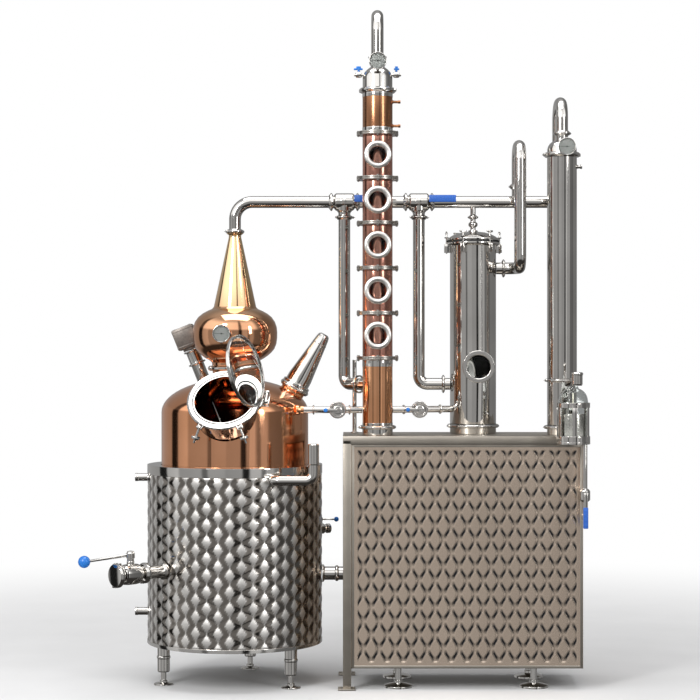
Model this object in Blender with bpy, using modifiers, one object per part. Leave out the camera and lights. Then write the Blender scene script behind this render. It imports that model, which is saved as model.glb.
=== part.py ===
"""Alembic still: copper pot in a heating jacket, helmet, vapour line, five-plate column,
botanical basket, condenser and spirit parrot on a clad cabinet.

Metres, +Z up, -Y towards the front. The origin is on the floor, midway between the extremes.
"""

import math

import bmesh
import bpy
from mathutils import Matrix, Vector

# ---- driving dimensions -------------------------------------------------------------------
GAP = 0.0004  # between pieces that touch
LINE_Y = 0.1046  # plane of the pot axis and of the vapour line
FRONT_Y = LINE_Y - 0.145  # plane of the column and condenser axes
TUBE_R = 0.024  # two-inch vapour tube
FERRULE_R = 0.033
FERRULE_H = 0.010
SIDES = 20  # facets of a turned piece
SMALL_SIDES = 10

POT_X = -0.415
POT_R = 0.298
POT_WALL = 0.004
POT_BOTTOM = 0.215
SHOULDER_Z = 1.091
DOME_H = 0.137
NECK_R = 0.090
NECK_TOP = 1.268
JACKET_R = 0.355
JACKET_WALL = 0.003
JACKET_BOTTOM = 0.160
JACKET_TOP = 0.880
LEG_RING_R = 0.300
LEG_ANGLES = (81, 201, 321)  # degrees about the pot axis

LINE_Z = 1.945
VALVE_X = (0.030, 0.333)
DROP_Z = 1.205
COLUMN_X = 0.163
COLUMN_R = 0.060
FLANGE_R = 0.084
FLANGE_H = 0.007
PLATE_Z = 1.311  # lowest plate joint
PLATE_PITCH = 0.1792
PLATES = 5
BASKET_X = 0.5535
BASKET_R = 0.0935
BASKET_TOP = 1.780
OUTLET_X = 0.735
CONDENSER_X = 0.900
CONDENSER_R = 0.0592
CONDENSER_TOP = 2.122

TABLE_TOP = 1.003
TABLE_H = 0.032
TABLE_X = (0.025, 1.001)
TABLE_Y = (LINE_Y - 0.245, LINE_Y + 0.155)
CABINET_X = (0.0585, 0.974)
CABINET_BOTTOM = 0.085
POST = 0.033

MANWAY = Vector((POT_X - 0.026, LINE_Y - 0.290, 1.150))  # centre of the ring's face
MANWAY_OUT = Vector((-0.100, -0.743, 0.662)).normalized()
RING_R = 0.148
DOOR_R = 0.1440
HINGE_AT = 0.169
HINGE_UP = 0.010
DOOR_OPEN = 70  # degrees from shut, at rest
BOLT_ANGLES = (-120, -60)
BOLT_AT = 0.160
BOLT_HANG = 134  # degrees from clamped, at rest

PARROT = Vector((0.924, LINE_Y - 0.322, 0.975))
PARROT_R = 0.0665
DRAIN_X = 0.9705

X, Y, Z = Vector((1, 0, 0)), Vector((0, 1, 0)), Vector((0, 0, 1))

# ---- scene and materials ------------------------------------------------------------------
for old in list(bpy.data.objects):
    bpy.data.objects.remove(old)
parts = bpy.data.collections.new("alembic_still")
cutters = bpy.data.collections.new("cutters")
for made in (parts, cutters):
    bpy.context.scene.collection.children.link(made)


def material(name, colour, roughness, metallic):
    made = bpy.data.materials.new(name)
    made.use_nodes = True
    shader = made.node_tree.nodes["Principled BSDF"]
    shader.inputs["Base Color"].default_value = (*colour, 1)
    shader.inputs["Roughness"].default_value = roughness
    shader.inputs["Metallic"].default_value = metallic
    return made


COPPER = material("copper", (0.80, 0.42, 0.26), 0.15, 1)
STEEL = material("steel", (0.72, 0.71, 0.69), 0.12, 1)
SATIN = material("satin_steel", (0.55, 0.51, 0.47), 0.35, 1)
BLUE = material("blue", (0.03, 0.16, 0.60), 0.4, 0)
GLASS = material("glass", (0.90, 0.95, 0.95), 0.05, 0)
DARK = material("motor_paint", (0.30, 0.28, 0.26), 0.5, 0)


# ---- makers -------------------------------------------------------------------------------
def put(obj, finish, at, axis, parent):
    """Place an object with its own +Z along axis, and give it its finish."""
    (parts if finish else cutters).objects.link(obj)
    if finish:
        obj.data.materials.append(finish)
    obj.rotation_mode = "QUATERNION"
    obj.rotation_quaternion = Z.rotation_difference(Vector(axis))
    obj.location = at
    obj.parent = parent
    return obj


def lathe(name, profile, finish, at=(0, 0, 0), axis=Z, parent=None, sides=SIDES, loop=False):
    """Turn a profile of (radius, height) pairs, running down the outer side, about its axis."""
    mesh = bpy.data.meshes.new(name)
    count = len(profile)
    edges = [(i, (i + 1) % count) for i in range(count if loop else count - 1)]
    mesh.from_pydata([(r, 0, z) for r, z in profile], edges, [])
    obj = put(bpy.data.objects.new(name, mesh), finish, at, axis, parent)
    screw = obj.modifiers.new("turn", "SCREW")
    screw.axis = "Z"
    screw.steps = screw.render_steps = sides
    screw.use_merge_vertices = True
    screw.merge_threshold = 0.00001
    return obj


def rod(name, radius, low, high, finish, sides=SMALL_SIDES, **where):
    return lathe(name, [(0, high), (radius, high), (radius, low), (0, low)], finish, sides=sides, **where)


def box(name, low, high, finish, parent=None):
    bpy.ops.mesh.primitive_cube_add(size=1)
    obj = bpy.context.object
    obj.name = obj.data.name = name
    for group in list(obj.users_collection):
        group.objects.unlink(obj)
    low, high = Vector(low), Vector(high)
    obj.data.transform(Matrix.Translation((low + high) / 2) @ Matrix.Diagonal((*(high - low), 1)))
    return put(obj, finish, (0, 0, 0), Z, parent)


def bend(corners, radii, steps=3):
    """A path through corners, each inner one rounded to an arc of its radius."""
    points = [Vector(corners[0])]
    for before, here, after, radius in zip(corners, corners[1:], corners[2:], radii):
        back = (Vector(before) - Vector(here)).normalized()
        on = (Vector(after) - Vector(here)).normalized()
        half = back.angle(on) / 2
        start = Vector(here) + back * radius / math.tan(half)
        centre = Vector(here) + (back + on).normalized() * radius / math.sin(half)
        spoke = start - centre
        turn_axis = back.cross(on)
        for step in range(steps + 1):
            turn = Matrix.Rotation(-(math.pi - 2 * half) * step / steps, 3, turn_axis)
            points.append(centre + turn @ spoke)
    return points + [Vector(corners[-1])]


def tube(name, points, radius, finish, resolution=2):
    """A round bar along a path, as a mesh so that Booleans can use it."""
    curve = bpy.data.curves.new(name + "_path", "CURVE")
    curve.dimensions = "3D"
    curve.bevel_depth = radius
    curve.bevel_resolution = resolution
    curve.use_fill_caps = True
    spline = curve.splines.new("POLY")
    spline.points.add(len(points) - 1)
    for point, place in zip(spline.points, points):
        point.co = (*place, 1)
    guide = bpy.data.objects.new(name + "_path", curve)
    cutters.objects.link(guide)
    bpy.context.view_layer.update()
    mesh = bpy.data.meshes.new_from_object(guide.evaluated_get(bpy.context.evaluated_depsgraph_get()))
    mesh.name = name
    bpy.data.objects.remove(guide)
    work = bmesh.new()
    work.from_mesh(mesh)
    bmesh.ops.remove_doubles(work, verts=work.verts, dist=0.00001)
    bmesh.ops.recalc_face_normals(work, faces=work.faces)
    work.to_mesh(mesh)
    work.free()
    return put(bpy.data.objects.new(name, mesh), finish, (0, 0, 0), Z, None)


def boolean(target, operation, others):
    for other in others:
        other.hide_render = True
        other.display_type = "WIRE"
        step = target.modifiers.new(operation.lower(), "BOOLEAN")
        step.operation = operation
        step.solver = "EXACT"
        step.object = other
    weld = target.modifiers.new("weld", "WELD")
    weld.merge_threshold = 0.00002
    return target


def join(target, *others):
    return boolean(target, "UNION", others)


def cut(target, *others):
    return boolean(target, "DIFFERENCE", others)


def pivot(name, at, rotation=None, parent=None):
    """An empty on a joint's axis, which carries the moving piece."""
    empty = bpy.data.objects.new(name, None)
    parts.objects.link(empty)
    empty.rotation_mode = "QUATERNION"
    if rotation:
        empty.rotation_quaternion = rotation
    empty.location = at
    empty.parent = parent
    return empty


def ferrule(at, axis, radius=FERRULE_R, height=FERRULE_H):
    """A clamp ferrule that starts at a pipe's end and runs back along axis."""
    return rod("ferrule", radius, 0, height, None, sides=12, at=at, axis=axis)


def inset(corners, first=True, last=True):
    """The same corners with the ends drawn 2 mm in, so that a ferrule's face stands proud of the pipe's."""
    corners = [Vector(corner) for corner in corners]
    if first:
        corners[0] += (corners[1] - corners[0]).normalized() * 0.002
    if last:
        corners[-1] += (corners[-2] - corners[-1]).normalized() * 0.002
    return corners


def at_pot(radius, degrees, height):
    angle = math.radians(degrees)
    return Vector((POT_X + radius * math.cos(angle), LINE_Y + radius * math.sin(angle), height))


def dome_z(radius):
    return SHOULDER_Z + DOME_H * math.sqrt(1 - (radius / POT_R) ** 2)


def hollow(outer, wall):
    """Close an outer profile into a shell, with its inner side a wall's width in."""
    return outer + [(r - wall, z) for r, z in reversed(outer)]


# ---- pot, jacket and their fittings -------------------------------------------------------
AGITATOR_FROM = Vector((POT_X - 0.134, LINE_Y + 0.120, 1.215))
AGITATOR_UP = Vector((-0.37, 0, 0.929)).normalized()
VENT_FROM = Vector((POT_X + 0.205, LINE_Y, 1.125))
VENT_UP = Vector((0.494, 0, 0.870)).normalized()


def make_pot():
    dome = [(r, dome_z(r)) for r in (0.13, 0.18, 0.225, 0.262, 0.288)]
    outer = [(0.105, NECK_TOP), (0.105, NECK_TOP - 0.01), (NECK_R, NECK_TOP - 0.01), (NECK_R, dome_z(NECK_R))]
    outer += dome + [(POT_R, SHOULDER_Z), (POT_R, POT_BOTTOM + 0.05), (0.25, POT_BOTTOM + 0.015)]
    inner = [(0, POT_BOTTOM + POT_WALL), (0.25 - POT_WALL, POT_BOTTOM + 0.015 + POT_WALL)]
    inner += [(POT_R - POT_WALL, POT_BOTTOM + 0.05), (POT_R - POT_WALL, SHOULDER_Z)]
    inner += [(r - POT_WALL, z - POT_WALL) for r, z in reversed(dome)]
    inner += [(NECK_R - POT_WALL, dome_z(NECK_R) - POT_WALL), (NECK_R - POT_WALL, NECK_TOP)]
    pot = lathe("pot", inner + outer + [(0, POT_BOTTOM)], COPPER, at=(POT_X, LINE_Y, 0), sides=20)
    mount = rod("mount", 0.027, -0.015, 0.140, None, sides=16, at=AGITATOR_FROM, axis=AGITATOR_UP)
    neck = rod("vent_neck", 0.050, 0, 0.075, None, sides=16, at=VENT_FROM, axis=VENT_UP)
    join(pot, mount, neck)
    shaft_way = rod("shaft_way", 0.020, -0.10, 0.17, None, at=AGITATOR_FROM, axis=AGITATOR_UP)
    vent_way = rod("vent_way", 0.044, -0.05, 0.10, None, sides=16, at=VENT_FROM, axis=VENT_UP)
    hatch = rod("hatch", 0.1315, -0.26, 0.05, None, sides=SIDES, at=MANWAY, axis=MANWAY_OUT)
    cut(pot, shaft_way, vent_way, hatch)


def make_jacket():
    low, high, wall = JACKET_BOTTOM, JACKET_TOP, JACKET_WALL
    profile = [(0, low + wall), (JACKET_R - wall, low + wall), (JACKET_R - wall, high - wall)]
    profile += [(POT_R + 0.003, high - wall), (POT_R + 0.003, high), (JACKET_R, high), (JACKET_R, low), (0, low)]
    jacket = lathe("heating_jacket", profile, SATIN, at=(POT_X, LINE_Y, 0), sides=24)
    legs = []
    foot = [(0, low + 0.002), (0.025, low + 0.002), (0.025, 0.055), (0.011, 0.055), (0.011, 0.012)]
    foot += [(0.040, 0.006), (0.040, 0), (0, 0)]
    for degrees in LEG_ANGLES:
        legs.append(lathe("leg", foot, None, at=at_pot(LEG_RING_R, degrees, 0), sides=10))
    ports = []
    for height in (0.826, 0.281):
        ports.append(rod("port", 0.017, 0, 0.054, None, at=at_pot(JACKET_R - 0.002, 180, height), axis=-X))
    corner = LINE_Y - 0.366
    route = [
        (POT_X + 0.165, LINE_Y - JACKET_R + 0.045, 0.835),
        (POT_X + 0.165, corner, 0.835),
        (POT_X + 0.326, corner, 0.835),
        (POT_X + 0.326, corner, 0.978),
    ]
    standpipe = tube("standpipe", bend(route, (0.03, 0.03), 2), 0.022, None)
    join(jacket, *legs, *ports, standpipe)


def make_manway():
    out = MANWAY_OUT
    across = Z.cross(out).normalized()
    up = out.cross(across)
    frame = pivot("manway_frame", MANWAY, Matrix((across, up, out)).transposed().to_quaternion())
    profile = [(RING_R, 0), (RING_R, -0.012), (0.128, -0.012), (0.128, -0.095), (0.118, -0.095), (0.118, 0)]
    ring = lathe("manway_ring", profile, STEEL, parent=frame, loop=True)
    pieces = [box("seat", (0.135, -0.030, -0.011), (0.180, 0.030, -0.003), None, frame)]
    for side in (-1, 1):
        near, far = sorted((side * 0.019, side * 0.029))
        pieces.append(box("ear", (0.1585, near, -0.005), (0.180, far, 0.021), None, frame))
    pin_at = Vector((HINGE_AT, 0, HINGE_UP))
    pieces.append(rod("pin", 0.005, -0.028, 0.028, None, at=pin_at, axis=Y, parent=frame))
    swing = pivot("door_hinge", pin_at, Matrix.Rotation(math.radians(DOOR_OPEN), 3, Y).to_quaternion(), frame)
    make_door(swing)
    for number, degrees in enumerate(BOLT_ANGLES, 1):
        turned = Matrix.Rotation(math.radians(degrees), 3, Z)
        lug = pivot(f"lug_{number}", turned @ Vector((BOLT_AT, 0, -0.006)), turned.to_quaternion(), frame)
        for side in (-1, 1):
            near, far = sorted((side * 0.007, side * 0.012))
            pieces.append(box("bolt_ear", (-0.030, near, -0.005), (0.006, far, 0.005), None, lug))
        pieces.append(rod("bolt_pin", 0.004, -0.011, 0.011, None, sides=8, axis=Y, parent=lug))
        hang = Matrix.Rotation(math.radians(BOLT_HANG), 3, Y).to_quaternion()
        make_swing_bolt(number, pivot(f"bolt_swing_{number}", (0, 0, 0), hang, lug))
    join(ring, *pieces)


def make_door(swing):
    """The door is drawn shut in the hinge's own frame, and the hinge holds it open."""
    centre = Vector((-HINGE_AT, 0, -HINGE_UP))
    rim = [(DOOR_R, 0.016), (DOOR_R, 0.001), (0.130, 0.001), (0.130, 0.004), (0.1365, 0.004), (0.1365, 0.016)]
    door = lathe("manway_door", rim, STEEL, at=centre, parent=swing, loop=True)
    knuckle = rod("knuckle", 0.0100, -0.0185, 0.0185, None, axis=Y, parent=swing)
    arm = box("arm", (-0.031, -0.015, -0.006), (-0.004, 0.015, 0.005), None, swing)
    bore = rod("bore", 0.0056, -0.03, 0.03, None, axis=Y, parent=swing)
    cut(join(door, knuckle, arm), bore)
    rod("manway_glass", 0.1353, 0.0045, 0.0125, GLASS, sides=SIDES, at=centre, parent=swing)


def make_swing_bolt(number, swing):
    profile = [(0, 0.066), (0.005, 0.066), (0.005, 0.050), (0.018, 0.050), (0.018, 0.036), (0.005, 0.036)]
    bolt = lathe(f"swing_bolt_{number}", profile + [(0.005, 0.005), (0, 0.005)], STEEL, parent=swing, sides=12)
    eye = rod("eye", 0.009, -0.0062, 0.0062, None, axis=Y, parent=swing)
    bore = rod("eye_bore", 0.0047, -0.02, 0.02, None, sides=8, axis=Y, parent=swing)
    cut(join(bolt, eye), bore)


def make_helmet():
    outer = [(0.034, 1.824), (0.034, 1.816), (0.0245, 1.812), (0.0870, 1.516), (0.110, 1.501), (0.149, 1.476)]
    outer += [(0.168, 1.450), (0.1725, 1.418), (0.1690, 1.367), (0.150, 1.334), (0.120, 1.308)]
    outer += [(0.092, 1.290), (0.092, 1.278), (0.105, 1.278), (0.105, NECK_TOP + GAP)]
    inner = [(0.089, NECK_TOP + GAP), (0.089, 1.293), (0.118, 1.312), (0.147, 1.337), (0.1655, 1.369)]
    inner += [(0.1690, 1.418), (0.1645, 1.448), (0.146, 1.473), (0.108, 1.497)]
    inner += [(0.0835, 1.513), (0.0210, 1.812), (0.0210, 1.824)]
    lathe("helmet", outer + inner, COPPER, at=(POT_X, LINE_Y, 0), loop=True)


def make_agitator():
    up = AGITATOR_UP
    foot = AGITATOR_FROM + up * 0.1405
    frame = pivot("agitator_axis", foot, Z.rotation_difference(up))
    motor = lathe("gearmotor", [(0, 0.05), (0.034, 0.05), (0.034, 0), (0, 0)], DARK, parent=frame, sides=16)
    case = box("case", (-0.050, -0.045, 0.010), (0.042, 0.045, 0.100), None, frame)
    well = rod("well", 0.012, -0.02, 0.035, None, parent=frame)
    cut(join(motor, case), well)
    shaft = rod("agitator", 0.009, -0.820, 0.030, STEEL, sides=8, parent=frame)
    blades = []
    for degrees in (0, 90):
        turn = pivot(f"blade_frame_{degrees}", (0, 0, 0), Matrix.Rotation(math.radians(degrees), 3, Z).to_quaternion(), frame)
        blades.append(box("blade", (-0.060, -0.003, -0.790), (0.060, 0.003, -0.760), None, turn))
    join(shaft, *blades)


def make_vent():
    base = VENT_FROM + VENT_UP * (0.075 + GAP)
    outer = [(0.008, 0.250), (0.0185, 0.240), (0.0205, 0.225), (0.050, 0.045), (0.050, 0.020), (0.060, 0.020), (0.060, 0)]
    inner = [(0.044, 0), (0.044, 0.044), (0.017, 0.223), (0.008, 0.235)]
    lathe("vent_cone", outer + inner, STEEL, at=base, axis=VENT_UP, sides=16, loop=True)


def make_drain():
    out = Vector((-0.743, -0.669, 0)).normalized()
    start = Vector((POT_X, LINE_Y, 0.470)) + out * (JACKET_R + 0.0008)
    profile = [(0, 0.240), (0.044, 0.240), (0.044, 0.222), (0.027, 0.222), (0.027, 0.208), (0.041, 0.200)]
    profile += [(0.041, 0.128), (0.027, 0.122), (0.027, 0.105), (0.038, 0.105), (0.038, 0.090), (0.026, 0.090)]
    valve = lathe("drain_valve", profile + [(0.026, 0), (0, 0)], STEEL, at=start, axis=out, sides=16)
    top = start + out * 0.164
    join(valve, rod("stem", 0.014, 0, 0.062, None, at=top))
    hub = pivot("drain_lever_axis", top + Z * (0.062 + GAP), Matrix.Rotation(math.radians(190), 3, Z).to_quaternion())
    lever = lathe("drain_lever", [(0, 0.030), (0.014, 0.026), (0.017, 0.018), (0.017, 0), (0, 0)], STEEL, parent=hub)
    arm = rod("arm", 0.0065, 0, 0.170, None, at=(0, 0, 0.014), axis=(0.99, 0, -0.14), parent=hub, sides=8)
    bpy.ops.mesh.primitive_uv_sphere_add(segments=12, ring_count=7, radius=0.024)
    ball = bpy.context.object
    ball.users_collection[0].objects.unlink(ball)
    put(ball, None, (0.1790, 0, -0.011), Z, hub)
    join(lever, arm, ball)


def make_jacket_valve():
    out = Vector((math.cos(math.radians(30)), math.sin(math.radians(30)), 0))
    start = Vector((POT_X, LINE_Y, 0.598)) + out * (JACKET_R + 0.0010)
    profile = [(0, 0.085), (0.020, 0.085), (0.020, 0.070), (0.014, 0.065), (0.022, 0.058), (0.022, 0.028)]
    valve = lathe("jacket_valve", profile + [(0.014, 0.022), (0.014, 0), (0, 0)], STEEL, at=start, axis=out, sides=12)
    top = start + out * 0.043
    join(valve, rod("stem", 0.008, 0, 0.032, None, at=top, sides=8))
    hub = pivot("jacket_lever_axis", top + Z * (0.032 + GAP))
    lever = rod("jacket_lever", 0.009, 0, 0.014, STEEL, parent=hub)
    arm = rod("arm", 0.004, 0, 0.066, None, at=(0, 0, 0.007), axis=X, parent=hub, sides=8)
    knob = rod("knob", 0.011, 0.056, 0.076, None, at=(0, 0, 0.007), axis=X, parent=hub)
    join(lever, arm, knob)


def make_steam_pipe():
    start, end = POT_X + JACKET_R + GAP, CABINET_X[0] - GAP
    middle = (end - start) / 2
    profile = [(0, end - start), (0.0275, end - start), (0.0275, middle + 0.008), (0.038, middle + 0.008)]
    profile += [(0.038, middle - 0.008), (0.0275, middle - 0.008), (0.0275, 0), (0, 0)]
    lathe("steam_pipe", profile, STEEL, at=(start, LINE_Y, 0.435), axis=X, sides=16)


# ---- vapour line --------------------------------------------------------------------------
VALVE_HALF = 0.053


def make_lyne_arm():
    foot = 1.824 + GAP
    end = VALVE_X[0] - VALVE_HALF - GAP
    corners = [(POT_X, LINE_Y, foot), (POT_X, LINE_Y, LINE_Z), (end, LINE_Y, LINE_Z)]
    arm = tube("lyne_arm", bend(inset(corners), (0.07,)), TUBE_R, STEEL)
    join(arm, ferrule((POT_X, LINE_Y, foot), Z), ferrule((end, LINE_Y, LINE_Z), -X))


def make_vapour_valve(number, place):
    half = [(FERRULE_R, 0.053), (FERRULE_R, 0.045), (TUBE_R, 0.042), (0.036, 0.034)]
    profile = [(0, VALVE_HALF)] + half + [(r, -z) for r, z in reversed(half)] + [(0, -VALVE_HALF)]
    valve = lathe(f"vapour_valve_{number}", profile, STEEL, at=(place, LINE_Y, LINE_Z), axis=X, sides=12)
    down = [(0, 0.062), (FERRULE_R, 0.062), (FERRULE_R, 0.054), (TUBE_R, 0.052), (0.033, 0.030), (0.033, 0), (0, 0)]
    outlet = lathe("outlet", down, None, at=(place, LINE_Y, LINE_Z), axis=-Z, sides=12)
    boss = rod("boss", 0.013, 0, 0.040, None, at=(place, LINE_Y, LINE_Z), axis=-Y)
    join(valve, outlet, boss)
    hub = pivot(f"vapour_lever_axis_{number}", (place, LINE_Y - 0.040 - GAP, LINE_Z))
    lever = box(f"vapour_lever_{number}", (-0.014, -0.0050, -0.010), (0.050, 0, 0.010), STEEL, hub)
    grip = box("grip", (0.040, -0.0085, -0.0030), (0.150, 0.0025, 0.0260), None, hub)
    nut = rod("nut", 0.009, 0.002, 0.013, None, sides=6, axis=-Y, parent=hub)
    join(lever, grip, nut)


def make_drop_pipes():
    top = LINE_Z - 0.062 - GAP
    to_column = Vector((COLUMN_X - VALVE_X[0], FRONT_Y - LINE_Y, 0))
    reach = to_column.length - COLUMN_R - 0.0006
    first = Vector((VALVE_X[0], LINE_Y, DROP_Z))
    corners = [first + Z * (top - DROP_Z), first, first + to_column.normalized() * reach]
    pipe = tube("drop_pipe_1", bend(inset(corners, last=False), (0.035,)), TUBE_R, STEEL)
    join(pipe, ferrule(corners[0], -Z))
    second = Vector((VALVE_X[1], LINE_Y, DROP_Z))
    end = Vector((BASKET_X - BASKET_R - 0.0006, LINE_Y, DROP_Z))
    corners = [second + Z * (top - DROP_Z), second, end]
    pipe = tube("drop_pipe_2", bend(inset(corners, last=False), (0.035,)), TUBE_R, STEEL)
    join(pipe, ferrule(second + Z * (top - DROP_Z), -Z), ferrule((end.x - 0.032, LINE_Y, DROP_Z), X))


def make_line_pipes():
    start, end = VALVE_X[0] + VALVE_HALF + GAP, VALVE_X[1] - VALVE_HALF - GAP
    middle = tube("vapour_pipe_middle", inset([(start, LINE_Y, LINE_Z), (end, LINE_Y, LINE_Z)]), TUBE_R, STEEL)
    branch = rod("branch", TUBE_R, 0, 0.060, None, at=(COLUMN_X, LINE_Y, LINE_Z))
    join(middle, branch, ferrule((start, LINE_Y, LINE_Z), X), ferrule((end, LINE_Y, LINE_Z), -X))
    join(middle, ferrule((COLUMN_X, LINE_Y, LINE_Z + 0.062), -Z))
    start = VALVE_X[1] + VALVE_HALF + GAP
    crest, foot = 2.337, CONDENSER_TOP + 0.086
    corners = [
        (start, LINE_Y, LINE_Z),
        (CONDENSER_X, LINE_Y, LINE_Z),
        (CONDENSER_X, LINE_Y, crest),
        (CONDENSER_X, FRONT_Y, crest),
        (CONDENSER_X, FRONT_Y, foot),
    ]
    pipe = tube("vapour_pipe_end", bend(inset(corners), (0.05, 0.07, 0.07)), TUBE_R, STEEL)
    riser = rod("riser", TUBE_R, 0, 0.060, None, at=(OUTLET_X, LINE_Y, LINE_Z))
    vent = rod("vent", 0.011, 0, 0.060, None, at=(BASKET_X, LINE_Y, LINE_Z), axis=-Z)
    join(pipe, riser, vent, ferrule(corners[0], X), ferrule(corners[-1], Z))
    join(pipe, ferrule((OUTLET_X, LINE_Y, LINE_Z + 0.062), -Z), ferrule((BASKET_X, LINE_Y, LINE_Z - 0.062), Z, 0.018))


# ---- column -------------------------------------------------------------------------------
def make_column_base():
    top = PLATE_Z - GAP / 2
    outer = [(FLANGE_R, top), (FLANGE_R, top - FLANGE_H), (COLUMN_R, top - FLANGE_H), (COLUMN_R, 1.042)]
    outer += [(0.074, 1.042), (0.074, 1.028), (COLUMN_R, 1.028), (COLUMN_R, TABLE_TOP + GAP), (0, TABLE_TOP + GAP)]
    inner = [(0, TABLE_TOP + 0.004), (COLUMN_R - 0.003, TABLE_TOP + 0.004), (COLUMN_R - 0.003, top)]
    lathe("column_base", inner + outer, COPPER, at=(COLUMN_X, FRONT_Y, 0), sides=16)


def make_plate_sections():
    """Each section is a tube with end flanges, a plate with its vapour riser, and a sight port."""
    length, inside = PLATE_PITCH - GAP, COLUMN_R - 0.002
    outer = [(FLANGE_R, length), (FLANGE_R, length - FLANGE_H), (COLUMN_R, length - FLANGE_H), (COLUMN_R, FLANGE_H)]
    outer += [(FLANGE_R, FLANGE_H), (FLANGE_R, 0)]
    inner = [(0.014, 0), (0.014, 0.022), (0.017, 0.022), (0.017, 0.003), (inside, 0.003), (inside, length)]
    for number in range(PLATES):
        at = Vector((COLUMN_X, FRONT_Y, PLATE_Z + GAP / 2 + number * PLATE_PITCH))
        section = lathe(f"plate_section_{number + 1}", outer + inner, COPPER, at=at, sides=14, loop=True)
        eye = at + Z * length / 2
        port = rod("port", 0.0535, 0.015, 0.086, None, sides=12, at=eye, axis=-Y)
        opening = rod("opening", 0.033, 0.010, 0.100, None, sides=12, at=eye, axis=-Y)
        clear = rod("clear", inside - 0.0006, -0.058, 0.058, None, sides=14, at=eye)
        cut(join(section, port), clear, opening)


def make_column_top():
    foot = PLATE_Z + PLATES * PLATE_PITCH + GAP / 2
    top = 2.379
    outer = [(0.071, top), (0.071, top - 0.008), (COLUMN_R, top - 0.008), (COLUMN_R, foot + FLANGE_H)]
    outer += [(FLANGE_R, foot + FLANGE_H), (FLANGE_R, foot)]
    inner = [(COLUMN_R - 0.003, foot), (COLUMN_R - 0.003, top)]
    cooler = lathe("dephlegmator", outer + inner, COPPER, at=(COLUMN_X, FRONT_Y, 0), sides=16, loop=True)
    ports = []
    for height in (2.238, 2.334):
        ports.append(rod("port", 0.007, COLUMN_R - 0.002, 0.092, None, sides=8, at=(COLUMN_X, FRONT_Y, height), axis=X))
    join(cooler, *ports)
    outer = [(FERRULE_R, 2.512), (FERRULE_R, 2.502), (0.0245, 2.498), (0.0245, 2.476), (0.036, 2.468)]
    outer += [(COLUMN_R, 2.434), (COLUMN_R, top + GAP + 0.008), (0.071, top + GAP + 0.008), (0.071, top + GAP)]
    inner = [(COLUMN_R - 0.003, top + GAP), (COLUMN_R - 0.003, 2.432), (0.033, 2.466), (0.021, 2.475), (0.021, 2.512)]
    head = lathe("column_head", outer + inner, STEEL, at=(COLUMN_X, FRONT_Y, 0), sides=16, loop=True)
    half = [(0.006, 0.094), (0.006, 0.088), (0.012, 0.084), (0.012, 0.066), (0.006, 0.062)]
    for side, name in ((-1, "left"), (1, "right")):
        at = Vector((COLUMN_X, FRONT_Y, 2.442))
        valve = lathe("valve", [(0, 0.094)] + half + [(0.006, 0.050), (0, 0.050)], None, at=at, axis=X * side, sides=10)
        join(head, valve)
        hub = pivot(f"water_lever_axis_{name}", at + X * side * 0.075 + Z * (0.012 + GAP))
        lever = rod(f"water_lever_{name}", 0.005, 0, 0.012, BLUE, sides=8, parent=hub)
        reach = (-0.020, 0.016) if side < 0 else (-0.010, 0.012)
        join(lever, box("wing", (reach[0], -0.006, 0.006), (reach[1], 0.006, 0.022), None, hub))
    crest = 2.712 - TUBE_R
    corners = [
        (COLUMN_X, FRONT_Y, 2.512 + GAP),
        (COLUMN_X, FRONT_Y, crest),
        (COLUMN_X, LINE_Y, crest),
        (COLUMN_X, LINE_Y, LINE_Z + 0.062 + GAP),
    ]
    neck = tube("swan_neck", bend(inset(corners), (0.07, 0.07)), TUBE_R, STEEL)
    join(neck, ferrule(corners[0], Z), ferrule(corners[-1], Z))


def make_return_line(number, start, end, along):
    """A drain-back pipe with a small valve, whose lever stands in front."""
    reach = end - start
    pipe = rod(f"return_line_{number}", 0.0135, 0, reach.length, STEEL, at=start, axis=reach)
    centre = start + reach * along
    body = lathe("body", [(0, 0.024), (0.021, 0.019), (0.021, -0.019), (0, -0.024)], None, at=centre, axis=reach)
    cap = lathe("cap", [(0, 0.037), (0.034, 0.033), (0.034, 0.018), (0.016, 0.012), (0.016, 0), (0, 0)], None, at=centre, axis=-Y)
    join(pipe, body, cap)
    hub = pivot(f"return_lever_axis_{number}", centre + Vector((0, -0.037 - GAP, 0)))
    lever = box(f"return_lever_{number}", (-0.058, -0.005, -0.008), (0.010, 0, 0.008), STEEL, hub)
    join(lever, rod("knob", 0.009, 0.004, 0.018, None, at=(-0.048, 0, 0), axis=-Y, parent=hub))


def make_return_lines():
    height = 1.104
    side = math.sqrt((POT_R + 0.001) ** 2 - (LINE_Y - FRONT_Y) ** 2)
    start = Vector((POT_X + side + 0.0095, FRONT_Y, height))
    make_return_line(1, start, Vector((COLUMN_X - COLUMN_R - 0.0006, FRONT_Y, height)), 0.60)
    column, basket = Vector((COLUMN_X, FRONT_Y, height)), Vector((BASKET_X, LINE_Y, height))
    out = (basket - column).normalized()
    make_return_line(2, column + out * (COLUMN_R + 0.0012), basket - out * (BASKET_R + 0.0006), 0.46)


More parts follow.
